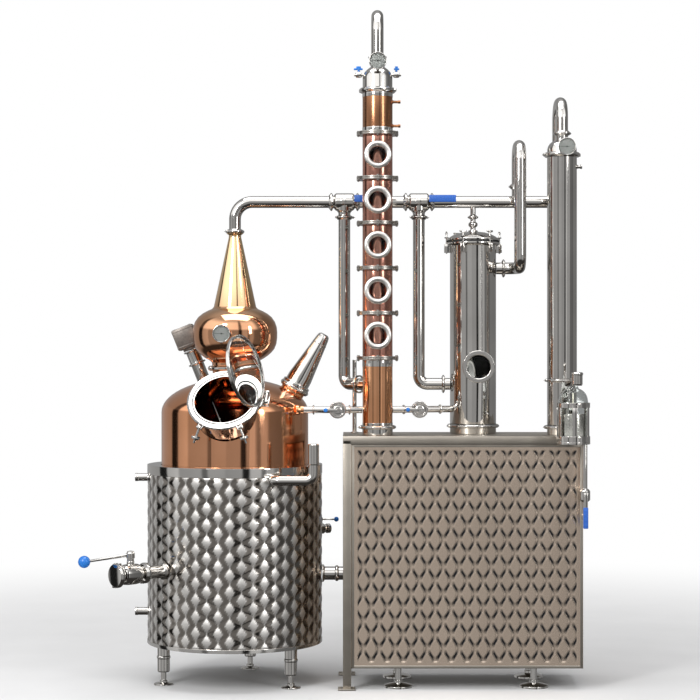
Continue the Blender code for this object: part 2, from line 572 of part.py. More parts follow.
# ---- botanical basket, condenser and parrot -----------------------------------------------
def make_basket():
    at = (BASKET_X, LINE_Y, 0)
    outer = [(0.106, BASKET_TOP), (0.106, BASKET_TOP - 0.010), (BASKET_R, BASKET_TOP - 0.010), (BASKET_R, 1.042)]
    outer += [(0.107, 1.042), (0.107, 1.028), (BASKET_R, 1.028), (BASKET_R, TABLE_TOP + GAP), (0, TABLE_TOP + GAP)]
    inner = [(0, TABLE_TOP + 0.004), (BASKET_R - 0.003, TABLE_TOP + 0.004), (BASKET_R - 0.003, BASKET_TOP)]
    body = lathe("basket_vessel", inner + outer, STEEL, at=at, sides=18)
    eye = Vector((BASKET_X + 0.017, LINE_Y, 1.276))
    port = rod("port", 0.066, 0.025, 0.104, None, sides=14, at=eye, axis=-Y)
    opening = rod("opening", 0.047, 0.02, 0.12, None, sides=14, at=eye, axis=-Y)
    clear = rod("clear", BASKET_R - 0.0036, 1.15, 1.40, None, sides=18, at=at)
    cut(join(body, port), clear, opening)
    foot = BASKET_TOP + GAP
    lid = [(0, 1.882), (0.018, 1.882), (0.018, 1.875), (0.011, 1.872), (0.011, 1.864), (0.019, 1.860), (0.019, 1.846)]
    lid += [(0.011, 1.842), (0.011, 1.830), (0.026, 1.824), (0.070, 1.816), (0.098, 1.802), (0.110, 1.798)]
    lathe("basket_lid", lid + [(0.110, foot), (0, foot)], STEEL, at=at, sides=16)
    cup = [(0.086, 1.735), (0.086, 1.733), (0.080, 1.731), (0.080, 1.372), (0, 1.372)]
    lathe("botanical_basket", [(0, 1.374), (0.078, 1.374), (0.078, 1.735)] + cup, STEEL, at=at, sides=16)
    crest = 2.190 - TUBE_R
    front = LINE_Y - 0.125
    corners = [
        (BASKET_X + BASKET_R + 0.0006, LINE_Y, 1.675),
        (OUTLET_X, LINE_Y, 1.675),
        (OUTLET_X, front, 1.675),
        (OUTLET_X, front, crest),
        (OUTLET_X, LINE_Y, crest),
        (OUTLET_X, LINE_Y, LINE_Z + 0.062 + GAP),
    ]
    outlet = tube("basket_outlet", bend(inset(corners, first=False), (0.05, 0.05, 0.06, 0.06)), TUBE_R, STEEL)
    join(outlet, ferrule((corners[0][0] + 0.0243, LINE_Y, 1.675), X), ferrule(corners[-1], Z))


def make_condenser():
    at = (CONDENSER_X, FRONT_Y, 0)
    rings = [(CONDENSER_TOP, 0.070, 0.009), (1.226, 0.070, 0.009), (1.042, 0.073, 0.014)]
    outer = []
    for top, radius, height in rings:
        outer += [(CONDENSER_R, top), (radius, top), (radius, top - height), (CONDENSER_R, top - height)]
    outer = outer[1:] + [(CONDENSER_R, TABLE_TOP + GAP), (0, TABLE_TOP + GAP)]
    inside = CONDENSER_R - 0.003
    inner = [(0, TABLE_TOP + 0.004), (inside, TABLE_TOP + 0.004), (inside, CONDENSER_TOP)]
    shell = lathe("condenser", inner + outer, STEEL, at=at, sides=16)
    water = rod("water_port", 0.009, CONDENSER_R - 0.002, 0.080, None, sides=8, at=(CONDENSER_X, FRONT_Y, 2.075), axis=X)
    spout_end = Vector((PARROT.x + 0.016, PARROT.y, 1.232))
    spout_from = Vector((CONDENSER_X, FRONT_Y, 1.208))
    away = (spout_end.xy - spout_from.xy).normalized().to_3d()
    spout = tube("spout", [spout_from + away * 0.058, spout_from + away * 0.075, spout_end], 0.0095, None, 2)
    cap = rod("spout_cap", 0.019, 1.203, 1.257, None, at=(spout_end.x, spout_end.y, 0))
    join(shell, water, spout, cap)
    foot = CONDENSER_TOP + GAP
    head = [(FERRULE_R, foot + 0.085), (FERRULE_R, foot + 0.076), (TUBE_R, foot + 0.072), (TUBE_R, foot + 0.058)]
    head += [(0.042, foot + 0.050), (0.054, foot + 0.038), (CONDENSER_R, foot + 0.022), (CONDENSER_R, foot + 0.009)]
    head += [(0.070, foot + 0.009), (0.070, foot)]
    inner = [(inside, foot), (inside, foot + 0.021), (0.051, foot + 0.036), (0.040, foot + 0.047), (0.021, foot + 0.055)]
    lathe("condenser_head", head + inner + [(0.021, foot + 0.085)], STEEL, at=at, sides=16, loop=True)
    turns, per_turn, coil_r, low, high = 6, 8, 0.040, 1.10, 2.05
    count = turns * per_turn
    helix = []
    for step in range(count + 1):
        angle = 2 * math.pi * step / per_turn
        lift = low + (high - low) * step / count
        helix.append((at[0] + coil_r * math.cos(angle), at[1] + coil_r * math.sin(angle), lift))
    tube("condenser_coil", helix, 0.007, COPPER, 0)


def make_parrot():
    x, y, low = PARROT
    holder = rod("parrot_holder", PARROT_R, 0, 0.010, STEEL, sides=16, at=PARROT)
    band = [(PARROT_R, 0.162), (PARROT_R, 0.146), (0.0615, 0.146), (0.0615, 0.162)]
    extras = [lathe("band", band, None, at=PARROT, sides=16, loop=True)]
    for degrees in range(30, 390, 60):
        turn = pivot(f"bar_{degrees}", PARROT, Matrix.Rotation(math.radians(degrees), 3, Z).to_quaternion())
        extras.append(box("bar", (0.0605, -0.005, 0.004), (0.0650, 0.005, 0.155), None, turn))
    extras.append(box("bracket", (x - 0.03, y + 0.045, low), (x + 0.03, TABLE_Y[0] - GAP, low + 0.010), None))
    pipe = [(0, 0.30), (0.010, 0.30), (0.010, 0.118), (0.021, 0.112), (0.021, 0.078), (0.010, 0.072), (0.010, 0.022)]
    extras.append(lathe("pipe", pipe + [(0.013, 0.020), (0.013, 0), (0, 0)], None, at=(DRAIN_X, y, 0.680), sides=10))
    extras.append(rod("boss", 0.008, 0, 0.026, None, sides=8, at=(DRAIN_X, y, 0.775), axis=-Y))
    join(holder, *extras)
    glass = [(0.019, 0.227), (0.021, 0.219), (0.035, 0.213), (0.050, 0.198), (0.057, 0.178), (0.0590, 0.155)]
    lathe("parrot_glass", hollow(glass + [(0.0590, 0.0104)], 0.003), GLASS, at=PARROT, sides=16, loop=True)
    hub = pivot("parrot_lever_axis", (DRAIN_X, y - 0.026 - GAP, 0.775))
    lever = box("parrot_lever", (-0.009, -0.005, -0.055), (0.009, 0, 0.012), STEEL, hub)
    join(lever, box("grip", (-0.010, -0.008, -0.128), (0.010, 0.002, -0.045), None, hub))
    float_profile = [(0, 0.200), (0.0028, 0.200), (0.0028, 0.085), (0.010, 0.070), (0.010, 0.020), (0, 0.0108)]
    lathe("hydrometer", float_profile, GLASS, at=PARROT, sides=10)


# ---- gauges -------------------------------------------------------------------------------
def make_gauge(name, face, stem):
    """A dial thermometer that faces forwards; its needle turns about the dial's centre."""
    case = [(0.0355, 0.018), (0.0355, 0), (0.008, 0), (0.008, -stem), (0, -stem)]
    lathe(f"gauge_{name}", [(0, 0.0135), (0.031, 0.0135), (0.031, 0.018)] + case, STEEL, at=face, axis=-Y, sides=16)
    hub = pivot(f"needle_axis_{name}", Vector(face) - Y * 0.0139)
    needle = rod(f"needle_{name}", 0.0035, 0, 0.002, DARK, sides=8, axis=-Y, parent=hub)
    join(needle, box("pointer", (-0.026, -0.0015, -0.0014), (0.012, -0.0005, 0.0014), None, hub))


def make_gauges():
    make_gauge("helmet", (POT_X - 0.042, LINE_Y - 0.167 - 0.030, 1.408), 0.0265)
    make_gauge("column", (COLUMN_X, FRONT_Y - 0.055, 2.489), 0.029)
    make_gauge("condenser", (CONDENSER_X + 0.010, FRONT_Y - 0.080, CONDENSER_TOP + 0.025), 0.020)


# ---- table and cabinet --------------------------------------------------------------------
def make_table():
    top = box("table", (TABLE_X[0], TABLE_Y[0], TABLE_TOP - TABLE_H), (TABLE_X[1], TABLE_Y[1], TABLE_TOP), SATIN)
    extras = []
    for near in (TABLE_Y[0], TABLE_Y[1] - POST):
        low, high = (TABLE_X[0], near, 0.004), (TABLE_X[0] + POST, near + POST, TABLE_TOP - TABLE_H / 2)
        extras.append(box("post", low, high, None))
        plate_low = (TABLE_X[0] - 0.02, near - 0.012, 0)
        extras.append(box("plate", plate_low, (TABLE_X[0] + POST + 0.017, near + POST + 0.012, 0.008), None))
    upright = (COLUMN_X - 0.0915, LINE_Y + 0.060, 0)
    extras.append(rod("upright", 0.009, TABLE_TOP - 0.010, 1.303, None, sides=12, at=upright))
    join(top, *extras)
    low = Vector((CABINET_X[0], TABLE_Y[0] + 0.010, CABINET_BOTTOM))
    high = Vector((CABINET_X[1], TABLE_Y[1] - 0.010, TABLE_TOP - TABLE_H - GAP))
    cabinet = box("cabinet", low, high, SATIN)
    wall = Vector((0.004, 0.004, 0.004))
    room = box("room", low + wall, high + Vector((-0.004, -0.004, 0.02)), None)
    cut(cabinet, room)
    foot = [(0, CABINET_BOTTOM + 0.002), (0.013, CABINET_BOTTOM + 0.002), (0.013, 0.022), (0.058, 0.010), (0.058, 0), (0, 0)]
    feet = []
    for x in (0.245, 0.785):
        for y in (low.y + 0.07, high.y - 0.07):
            feet.append(lathe("foot", foot, None, at=(x, y, 0), sides=12))
    join(cabinet, *feet)


make_pot()
make_jacket()
make_manway()
make_helmet()
make_agitator()
make_vent()
make_drain()
make_jacket_valve()
make_steam_pipe()
make_lyne_arm()
for which, position in enumerate(VALVE_X, 1):
    make_vapour_valve(which, position)
make_drop_pipes()
make_line_pipes()
make_column_base()
make_plate_sections()
make_column_top()
make_return_lines()
make_basket()
make_condenser()
make_parrot()
make_gauges()
make_table()

for piece in parts.objects:
    if piece.type == "MESH":
        piece.data.shade_smooth()
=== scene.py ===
"""Looks of the alembic still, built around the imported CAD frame. Metres, in the frame's axes."""

from math import cos, pi, radians, sin, sqrt, tan

import bmesh
import bpy
from mathutils import Matrix, Vector


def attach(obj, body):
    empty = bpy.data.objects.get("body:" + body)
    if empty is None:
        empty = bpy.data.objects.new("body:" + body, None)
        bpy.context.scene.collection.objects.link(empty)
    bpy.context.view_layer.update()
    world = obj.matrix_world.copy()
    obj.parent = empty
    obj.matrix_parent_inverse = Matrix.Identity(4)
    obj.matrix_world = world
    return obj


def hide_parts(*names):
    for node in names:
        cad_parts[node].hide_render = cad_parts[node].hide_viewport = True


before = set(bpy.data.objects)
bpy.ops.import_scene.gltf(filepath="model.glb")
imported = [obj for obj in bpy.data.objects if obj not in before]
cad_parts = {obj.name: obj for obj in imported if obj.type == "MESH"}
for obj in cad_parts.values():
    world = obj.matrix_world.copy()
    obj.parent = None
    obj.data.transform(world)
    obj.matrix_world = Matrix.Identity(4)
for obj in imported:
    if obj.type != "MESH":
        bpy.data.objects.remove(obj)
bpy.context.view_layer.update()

# ---- dimensions repeated from the CAD -----------------------------------------------------
GAP = 0.0004
LINE_Y = 0.1046
FRONT_Y = LINE_Y - 0.145
TUBE_R = 0.024
POT_X = -0.415
POT_R = 0.298
SHOULDER_Z = 1.091
DOME_H = 0.137
NECK_R = 0.09
NECK_TOP = 1.268
JACKET_R = 0.355
JACKET_BOTTOM = 0.16
JACKET_TOP = 0.88
LINE_Z = 1.945
VALVE_X = (0.03, 0.333)
VALVE_HALF = 0.053
DROP_Z = 1.205
COLUMN_X = 0.163
COLUMN_R = 0.06
FLANGE_R = 0.084
PLATE_Z = 1.311
PLATE_PITCH = 0.1792
BASKET_X = 0.5535
BASKET_R = 0.0935
BASKET_TOP = 1.78
OUTLET_X = 0.735
CONDENSER_X = 0.9
CONDENSER_R = 0.0592
CONDENSER_TOP = 2.122
TABLE_TOP = 1.003
TABLE_H = 0.032
TABLE_X = (0.025, 1.001)
TABLE_Y = (LINE_Y - 0.245, LINE_Y + 0.155)
CABINET_X = (0.0585, 0.974)
CABINET_Y = (TABLE_Y[0] + 0.01, TABLE_Y[1] - 0.01)
CABINET_Z = (0.085, TABLE_TOP - TABLE_H - GAP)
POST = 0.033
PARROT = Vector((0.924, LINE_Y - 0.322, 0.975))
DRAIN_X = 0.9705
X, Y, Z = Vector((1, 0, 0)), Vector((0, 1, 0)), Vector((0, 0, 1))
shift = Matrix.Translation


def spin(degrees, axis):
    return Matrix.Rotation(radians(degrees), 4, axis)



# ---- materials ----------------------------------------------------------------------------
class Tree:
    """The nodes of a material or a world, with shorthand for making and joining them."""

    def __init__(self, owner):
        owner.use_nodes = True
        self.nodes, self.links = owner.node_tree.nodes, owner.node_tree.links

    def fill(self, made, sockets):
        """Give each named socket its value, or join it to another node's output."""
        for name, value in sockets.items():
            if isinstance(value, bpy.types.NodeSocket):
                self.links.new(value, made.inputs[name])
            else:
                made.inputs[name].default_value = value

    def add(self, kind, sockets=(), **settings):
        made = self.nodes.new("ShaderNode" + kind)
        for name, value in settings.items():
            setattr(made, name, value)
        self.fill(made, dict(sockets))
        return made

    def noise(self, scale, detail=3, stretch=(1, 1, 1), rough=0.5):
        where = self.add("TexCoord").outputs["Object"]
        where = self.add("Mapping", {"Vector": where, "Scale": stretch}).outputs["Vector"]
        sockets = {"Vector": where, "Scale": scale, "Detail": detail, "Roughness": rough}
        return self.add("TexNoise", sockets).outputs["Fac"]

    def ramp(self, source, stops):
        """Colours or grey levels along a value."""
        made = self.add("ValToRGB", {"Fac": source})
        bar = made.color_ramp
        while len(bar.elements) < len(stops):
            bar.elements.new(0.5)
        for element, (place, colour) in zip(bar.elements, stops):
            element.position = place
            element.color = (*colour, 1) if isinstance(colour, tuple) else (colour, colour, colour, 1)
        return made.outputs["Color"]

    def span(self, source, low, high, **settings):
        """How far a value lies between two others, from 0 to 1."""
        sockets = {"Value": source, "From Min": low, "From Max": high}
        return self.add("MapRange", sockets, **settings).outputs["Result"]

    def mix(self, part, first, second):
        sockets = {"Factor": part, "A": first, "B": second}
        return self.add("Mix", sockets, data_type="RGBA").outputs["Result"]

    def finish(self, colour, rough, grain=None, strength=0, distance=0.001):
        """Join colour, roughness and bump to the material's own shader."""
        body = self.nodes["Principled BSDF"]
        self.fill(body, {"Base Color": colour, "Roughness": rough})
        if grain:
            bump = self.add("Bump", {"Strength": strength, "Distance": distance, "Height": grain})
            self.fill(body, {"Normal": bump.outputs["Normal"]})


def paint(name, metallic=0):
    made = bpy.data.materials.new(name)
    tree = Tree(made)
    tree.fill(tree.nodes["Principled BSDF"], {"Metallic": metallic})
    return made, tree


def metal(name, dark, light, rough, stretch=(1, 1, 1), grain=60, bumpiness=0.05):
    """Metal whose colour drifts in soft patches, over fine scratches that run along one way."""
    made, tree = paint(name, 1)
    colour = tree.ramp(tree.noise(4, 4), [(0.35, dark), (0.65, light)])
    fine = tree.noise(grain, 5, stretch, 0.7)
    tree.finish(colour, tree.ramp(fine, [(0.3, rough[0]), (0.75, rough[1])]), fine, bumpiness, 0.0004)
    return made


def pillows(name, faces, groove, edge_rough, crown_rough):
    """Embossed steel: the crowns are brushed a little, and the colour holds painted light and shade: the
    groove tone is painted shade, and the pale face tone on the crown mark is a painted highlight where that
    mark is a slim diamond, as on the jacket.
    """
    made, tree = paint(name, 1)
    height = tree.add("Attribute", attribute_name="crown").outputs["Fac"]
    face = tree.ramp(tree.noise(6, 4, (1, 1, 0.3)), [(0.3, faces[0]), (0.7, faces[1])])
    sockets = {"Value": height, "To Min": edge_rough, "To Max": crown_rough}
    rough = tree.add("MapRange", sockets).outputs["Result"]
    # Painted shade and highlight: the crown mark mixes from the dark groove tone to the face tone.
    tree.finish(tree.mix(height, (*groove, 1), face), rough, tree.noise(110, 4), 0.03)
    return made


def plain(name, dark, light, rough, metallic=0, grain=300, bumpiness=0.15):
    made, tree = paint(name, metallic)
    fine = tree.noise(grain, 4)
    rough = tree.ramp(tree.noise(25), [(0.3, rough[0]), (0.7, rough[1])])
    tree.finish(tree.ramp(fine, [(0.3, dark), (0.7, light)]), rough, fine, bumpiness, 0.0003)
    return made


def helmet_copper():
    """Copper that pales to gold up the cone, as the light catches it."""
    made, tree = paint("helmet_copper", 1)
    where = tree.add("TexCoord").outputs["Object"]
    height = tree.add("SeparateXYZ", {"Vector": where}).outputs["Z"]
    drift = tree.ramp(tree.noise(5, 4), [(0.35, (0.62, 0.315, 0.175)), (0.65, (0.74, 0.39, 0.225))])
    cone_from, cone_full = 1.44, 1.6
    colour = tree.mix(tree.span(height, cone_from, cone_full), drift, (0.93, 0.66, 0.38, 1))
    fine = tree.noise(40, 5, (1, 1, 0.15), 0.7)
    tree.finish(colour, tree.ramp(fine, [(0.3, 0.05), (0.75, 0.12)]), fine, 0.04, 0.0004)
    return made


def clear_glass(name, tint):
    made, tree = paint(name)
    tree.fill(tree.nodes["Principled BSDF"], {"Transmission Weight": 1, "IOR": 1.18})
    tree.finish((*tint, 1), tree.ramp(tree.noise(18, 4), [(0.4, 0.01), (0.8, 0.06)]))
    return made


COPPER = metal("pot_copper", (0.76, 0.36, 0.19), (0.86, 0.425, 0.24), (0.06, 0.13), (1, 1, 0.12), 45, 0.03)
PINK = metal("column_copper", (0.51, 0.24, 0.18), (0.6, 0.295, 0.225), (0.11, 0.22), (1, 1, 0.1), 60, 0.03)
# The dephlegmator's copper is a darker copy of the fitting copper: painted shade.
COOLER = metal("cooler_copper", (0.36, 0.165, 0.085), (0.44, 0.21, 0.11), (0.16, 0.28), (1, 1, 0.1), 60, 0.03)
ORANGE = metal("fitting_copper", (0.8, 0.39, 0.2), (0.9, 0.46, 0.25), (0.07, 0.15), (1, 1, 0.1), 60, 0.03)
HELMET = helmet_copper()
STEEL = metal("polished_steel", (0.6, 0.58, 0.555), (0.7, 0.68, 0.65), (0.04, 0.11), (1, 1, 0.1), 80, 0.03)
# The jacket's pale face tone is a painted highlight, and both groove tones are painted shade.
QUILT = pillows("jacket_steel", ((0.88, 0.855, 0.82), (0.96, 0.935, 0.9)), (0.27, 0.245, 0.22), 0.12, 0.36)
CLAD = pillows("cabinet_steel", ((0.74, 0.605, 0.49), (0.84, 0.69, 0.56)), (0.035, 0.038, 0.042), 0.28, 0.26)
SLAB = metal("table_steel", (0.37, 0.335, 0.29), (0.45, 0.41, 0.355), (0.34, 0.5), (0.08, 1, 1), 140)
FLANGE = metal("flange_steel", (0.4, 0.37, 0.335), (0.5, 0.47, 0.43), (0.2, 0.34), (1, 1, 1), 160)
PORT = metal("port_steel", (0.8, 0.77, 0.73), (0.9, 0.87, 0.83), (0.24, 0.38), (1, 1, 1), 160)
NUTS = metal("nut_steel", (0.46, 0.44, 0.41), (0.58, 0.56, 0.53), (0.15, 0.28), (1, 1, 1), 200)
BLUE = plain("blue_sleeve", (0.01, 0.08, 0.36), (0.016, 0.11, 0.46), (0.35, 0.5))
BALL = plain("blue_knob", (0.012, 0.13, 0.46), (0.022, 0.18, 0.58), (0.18, 0.28), bumpiness=0.03)
MOTOR = plain("motor_grey", (0.15, 0.13, 0.115), (0.21, 0.185, 0.165), (0.32, 0.46), 0.6, 120, 0.2)
RUBBER = plain("gasket_rubber", (0.012, 0.012, 0.012), (0.03, 0.03, 0.03), (0.6, 0.8))
DIAL = plain("dial_face", (0.26, 0.26, 0.25), (0.32, 0.32, 0.31), (0.45, 0.6), 0, 500, 0.02)
INK = plain("dial_ink", (0.02, 0.02, 0.02), (0.05, 0.05, 0.05), (0.5, 0.6), 0, 400, 0.02)
PAPER = plain("hydrometer_scale", (0.75, 0.7, 0.55), (0.86, 0.82, 0.7), (0.5, 0.7), 0, 500, 0.02)
GLASS = clear_glass("sight_glass", (0.96, 0.98, 0.97))
# A slot name listed for each material.
SLOTS = {STEEL: "polished_steel", FLANGE: "polished_steel", PORT: "polished_steel"}
SLOTS |= {NUTS: "polished_steel", RUBBER: "polished_steel", DIAL: "polished_steel"}
SLOTS |= {QUILT: "satin_steel", CLAD: "satin_steel", SLAB: "satin_steel"}
SLOTS |= {COPPER: "copper", PINK: "copper", COOLER: "copper", ORANGE: "copper", HELMET: "copper"}
SLOTS |= {BLUE: "blue_plastic", BALL: "blue_plastic", MOTOR: "dark_paint", INK: "dark_paint"}
SLOTS |= {GLASS: "glass", PAPER: "glass"}


# ---- shapes -------------------------------------------------------------------------------
def soften(profile, size, loop=False):
    """Turn each corner of a profile into a small round."""
    count = len(profile)
    made = []
    for index, (r, z) in enumerate(profile):
        ends = not loop and index in (0, count - 1)
        before, after = Vector(profile[index - 1]), Vector(profile[(index + 1) % count])
        here = Vector((r, z))
        back, on = before - here, after - here
        short = min(back.length, on.length) < 1e-6
        if ends or size == 0 or short or back.angle(on) > radians(160):
            made.append((r, z))
            continue
        reach = min(size, 0.42 * back.length, 0.42 * on.length)
        start, end = here + back.normalized() * reach, here + on.normalized() * reach
        for step in (0, 0.35, 0.65, 1):
            point = start.lerp(here, step).lerp(here.lerp(end, step), step)
            made.append((max(point.x, 0), point.y))
    return made


def bend(corners, radii, steps=12):
    """A path through corners, each of them rounded to its own radius."""
    points = [Vector(corners[0])]
    for before, here, after, radius in zip(corners, corners[1:], corners[2:], radii):
        here = Vector(here)
        back, on = (Vector(before) - here).normalized(), (Vector(after) - here).normalized()
        half = back.angle(on) / 2
        centre = here + (back + on).normalized() * radius / sin(half)
        spoke = here + back * radius / tan(half) - centre
        for step in range(steps + 1):
            turn = (2 * half - pi) * step / steps
            points.append(centre + Matrix.Rotation(turn, 3, back.cross(on)) @ spoke)
    return points + [Vector(corners[-1])]


class Shape:
    """Mesh data gathered from turned, swept and boxed shapes, then made one piece."""

    def __init__(self):
        self.mesh = bmesh.new()
        self.place = Matrix.Identity(4)

    def at(self, place=(0, 0, 0), axis=Z, turn=0):
        """What follows is drawn with its own Z along axis from place."""
        facing = Z.rotation_difference(Vector(axis)).to_matrix().to_4x4()
        self.place = shift(place) @ facing @ Matrix.Rotation(turn, 4, "Z")
        return self

    def within(self, matrix):
        self.place = matrix
        return self

    def lathe(self, profile, sides=48, loop=False, round_=0.0008):
        profile = soften(profile, round_, loop)
        rings = []
        for r, z in profile:
            if r < 1e-6:
                rings.append([self.mesh.verts.new(self.place @ Vector((0, 0, z)))])
                continue
            ring = []
            for side in range(sides):
                angle = 2 * pi * side / sides
                ring.append(self.mesh.verts.new(self.place @ Vector((r * cos(angle), r * sin(angle), z))))
            rings.append(ring)
        pairs = list(zip(rings, rings[1:])) + ([(rings[-1], rings[0])] if loop else [])
        for upper, lower in pairs:
            for side in range(sides):
                nxt = (side + 1) % sides
                corners = [upper[side % len(upper)], lower[side % len(lower)]]
                corners += [lower[nxt % len(lower)], upper[nxt % len(upper)]]
                corners = list(dict.fromkeys(corners))
                if len(corners) > 2:
                    self.mesh.faces.new(corners)
        return self

    def rod(self, radius, low, high, sides=24, round_=0.0008):
        return self.lathe([(0, high), (radius, high), (radius, low), (0, low)], sides, False, round_)

    def sweep(self, points, radius, sides=28):
        points = [Vector(point) for point in points]
        ways = [(b - a).normalized() for a, b in zip(points, points[1:])]
        side_way = ways[0].orthogonal().normalized()
        rings = []
        for index, point in enumerate(points):
            way = (ways[max(index - 1, 0)] + ways[min(index, len(ways) - 1)]).normalized()
            side_way = (side_way - way * side_way.dot(way)).normalized()
            other = way.cross(side_way)
            ring = []
            for side in range(sides):
                angle = 2 * pi * side / sides
                offset = side_way * cos(angle) + other * sin(angle)
                ring.append(self.mesh.verts.new(self.place @ (point + offset * radius)))
            rings.append(ring)
        self.weave(rings, True)
        self.mesh.faces.new(list(reversed(rings[0])))
        self.mesh.faces.new(rings[-1])
        return self

    def weave(self, rows, closed=False):
        """Four-sided faces between rows of vertices, each row a ring if closed."""
        for lower, upper in zip(rows, rows[1:]):
            for side in range(len(lower) if closed else len(lower) - 1):
                nxt = (side + 1) % len(lower)
                self.mesh.faces.new((lower[side], lower[nxt], upper[nxt], upper[side]))

    def box(self, corner, other, edge=0.001):
        """A box between two opposite corners, in either order."""
        low, high = Vector(map(min, corner, other)), Vector(map(max, corner, other))
        fit = self.place @ shift((low + high) / 2) @ Matrix.Diagonal((*(high - low), 1))
        made = bmesh.ops.create_cube(self.mesh, size=1, matrix=fit)
        if edge:
            edges = list({e for v in made["verts"] for e in v.link_edges})
            bmesh.ops.bevel(self.mesh, geom=edges, offset=edge, segments=2, profile=0.5, affect="EDGES")
        return self

    def ball(self, radius, segments=32):
        count = {"u_segments": segments, "v_segments": segments // 2}
        bmesh.ops.create_uvsphere(self.mesh, radius=radius, matrix=self.place, **count)
        return self

    def piece(self, name, material, replaces=None, body="still", sharp=32, slot=None):
        """Make the gathered mesh one object, riding on a body in place of a CAD node."""
        bmesh.ops.recalc_face_normals(self.mesh, faces=self.mesh.faces)
        mesh = bpy.data.meshes.new(name)
        self.mesh.to_mesh(mesh)
        self.mesh.free()
        mesh.shade_smooth()
        mesh.set_sharp_from_angle(angle=radians(sharp))
        mesh.materials.append(material)
        obj = bpy.data.objects.new(name, mesh)
        bpy.context.scene.collection.objects.link(obj)
        if body:
            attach(obj, body)
        if replaces:
            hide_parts(replaces)
        return obj


def carve(obj, cutter):
    """Cut one closed shape out of a piece, for good."""
    tool = cutter.piece("cutter", INK, body=None)
    step = obj.modifiers.new("cut", "BOOLEAN")
    step.operation = "DIFFERENCE"
    step.solver = "EXACT"
    step.object = tool
    bpy.context.view_layer.update()
    made = bpy.data.meshes.new_from_object(obj.evaluated_get(bpy.context.evaluated_depsgraph_get()))
    obj.modifiers.clear()
    obj.data = made
    made.name = obj.name
    made.shade_smooth()
    made.set_sharp_from_angle(angle=radians(32))
    bpy.data.objects.remove(tool)


def clamp(shape, at, axis, radius=0.0335, half=0.007, turn=0.6):
    """A two-part ferrule clamp: a bevelled band with its hinge and its small wing nut."""
    outer, side = radius + 0.0042, half * 0.7
    band = [(radius - 0.002, half), (outer - 0.0026, half * 0.6), (outer, half * 0.35)]
    band += [(r, -z) for r, z in reversed(band)]
    shape.at(at, axis, turn).lathe(band, 56, True, 0.0008)
    shape.box((outer - 0.004, -0.004, -side), (outer + 0.0042, 0.004, side), 0.001)
    base = shape.place.copy()
    nut = shift((outer + 0.001, 0, 0)) @ spin(90, "X")
    shape.within(base @ nut).rod(0.002, -0.009, 0.011, 12, 0.0004)
    shape.rod(0.004, 0.0042, 0.0072, 6, 0.0005)
    shape.box((-0.0055, -0.0012, 0.0072), (0.0055, 0.0012, 0.0115), 0.0008)
    hinge = half * 0.6
    shape.within(base).box((-outer - 0.003, -0.0035, -hinge), (-outer + 0.003, 0.0035, hinge), 0.001)
    return shape


def dome_z(radius):
    """Height of the pot's dome at a distance from its axis."""
    return SHOULDER_Z + DOME_H * sqrt(max(1 - (radius / POT_R) ** 2, 0))


# ---- pot ----------------------------------------------------------------------------------
POT_AT = Vector((POT_X, LINE_Y, 0))
MANWAY = Vector((POT_X - 0.026, LINE_Y - 0.29, 1.15))
OUT = Vector((-0.1, -0.743, 0.662)).normalized()
ACROSS = Z.cross(OUT).normalized()
UP = OUT.cross(ACROSS)
MANWAY_FRAME = shift(MANWAY) @ Matrix((ACROSS, UP, OUT)).transposed().to_4x4()
HINGE_AT, HINGE_UP, BOLT_AT = 0.169, 0.01, 0.16
HINGE_FRAME = MANWAY_FRAME @ shift((HINGE_AT, 0, HINGE_UP)) @ spin(70, "Y")
MOUNT_FROM = Vector((POT_X - 0.134, LINE_Y + 0.12, 1.215))
MOUNT_UP = Vector((-0.37, 0, 0.929)).normalized()
VENT_FROM = Vector((POT_X + 0.205, LINE_Y, 1.125))
VENT_UP = Vector((0.494, 0, 0.87)).normalized()


def make_pot():
    radii = [0.098, 0.12, 0.145, 0.17, 0.195, 0.218, 0.238, 0.255, 0.268, 0.279, 0.287, 0.293, 0.2965]
    dome = [(r, dome_z(r)) for r in radii]
    outer = [(0.1045, NECK_TOP - 0.0005), (0.1045, NECK_TOP - 0.009), (NECK_R + 0.001, NECK_TOP - 0.01)]
    outer += [(NECK_R, NECK_TOP - 0.018), (NECK_R + 0.002, dome_z(0.098) + 0.008)] + dome
    outer += [(POT_R, SHOULDER_Z), (POT_R, 0.265), (0.292, 0.245), (0.275, 0.232), (0.25, 0.226), (0, 0.216)]
    inner = [(0, 0.2205), (0.25, 0.2305), (0.272, 0.237), (0.2875, 0.248), (POT_R - 0.004, 0.265),
        (POT_R - 0.004, SHOULDER_Z)]
    inner += [(r - 0.004, z - 0.004) for r, z in reversed(dome)]
    inner += [(NECK_R - 0.003, dome_z(0.098)), (NECK_R - 0.003, NECK_TOP - 0.0005)]
    pot = Shape().at(POT_AT).lathe(inner + outer, 96, False, 0.0006)
    pot = pot.piece("pot_copper", COPPER, "pot")
    carve(pot, Shape().within(MANWAY_FRAME).rod(0.1285, -0.2, 0.05, 64, 0))
    carve(pot, Shape().at(VENT_FROM, VENT_UP).rod(0.0435, -0.06, 0.1, 40, 0))
    Shape().at(MOUNT_FROM, MOUNT_UP).lathe([(0.0155, 0.138), (0.036, 0.138), (0.036, 0.132),
        (0.028, 0.13), (0.028, 0.084), (0.036, 0.082), (0.036, 0.076), (0.027, 0.074), (0.027, -0.012),
        (0.0155, -0.012)], 36, True).piece("motor_tube", STEEL)
    neck = [(0.045, 0.0745), (0.0575, 0.0745), (0.0575, 0.065), (0.05, 0.063), (0.05, 0.012), (0.058, -0.004)]
    Shape().at(VENT_FROM, VENT_UP).lathe(neck + [(0.056, -0.012), (0.045, -0.012)], 40,
        True).piece("vent_neck", ORANGE)
    band = Shape()
    clamp(band, POT_AT + Z * (NECK_TOP + 0.0005), Z, 0.1055, 0.0105, radians(-150))
    band.piece("neck_clamp", STEEL)


def quilt(p, q):
    """Height of a pillow, from 0 at its stitched edges to 1 at its crown."""
    return (abs(sin(pi * p)) * abs(sin(pi * q))) ** 0.62


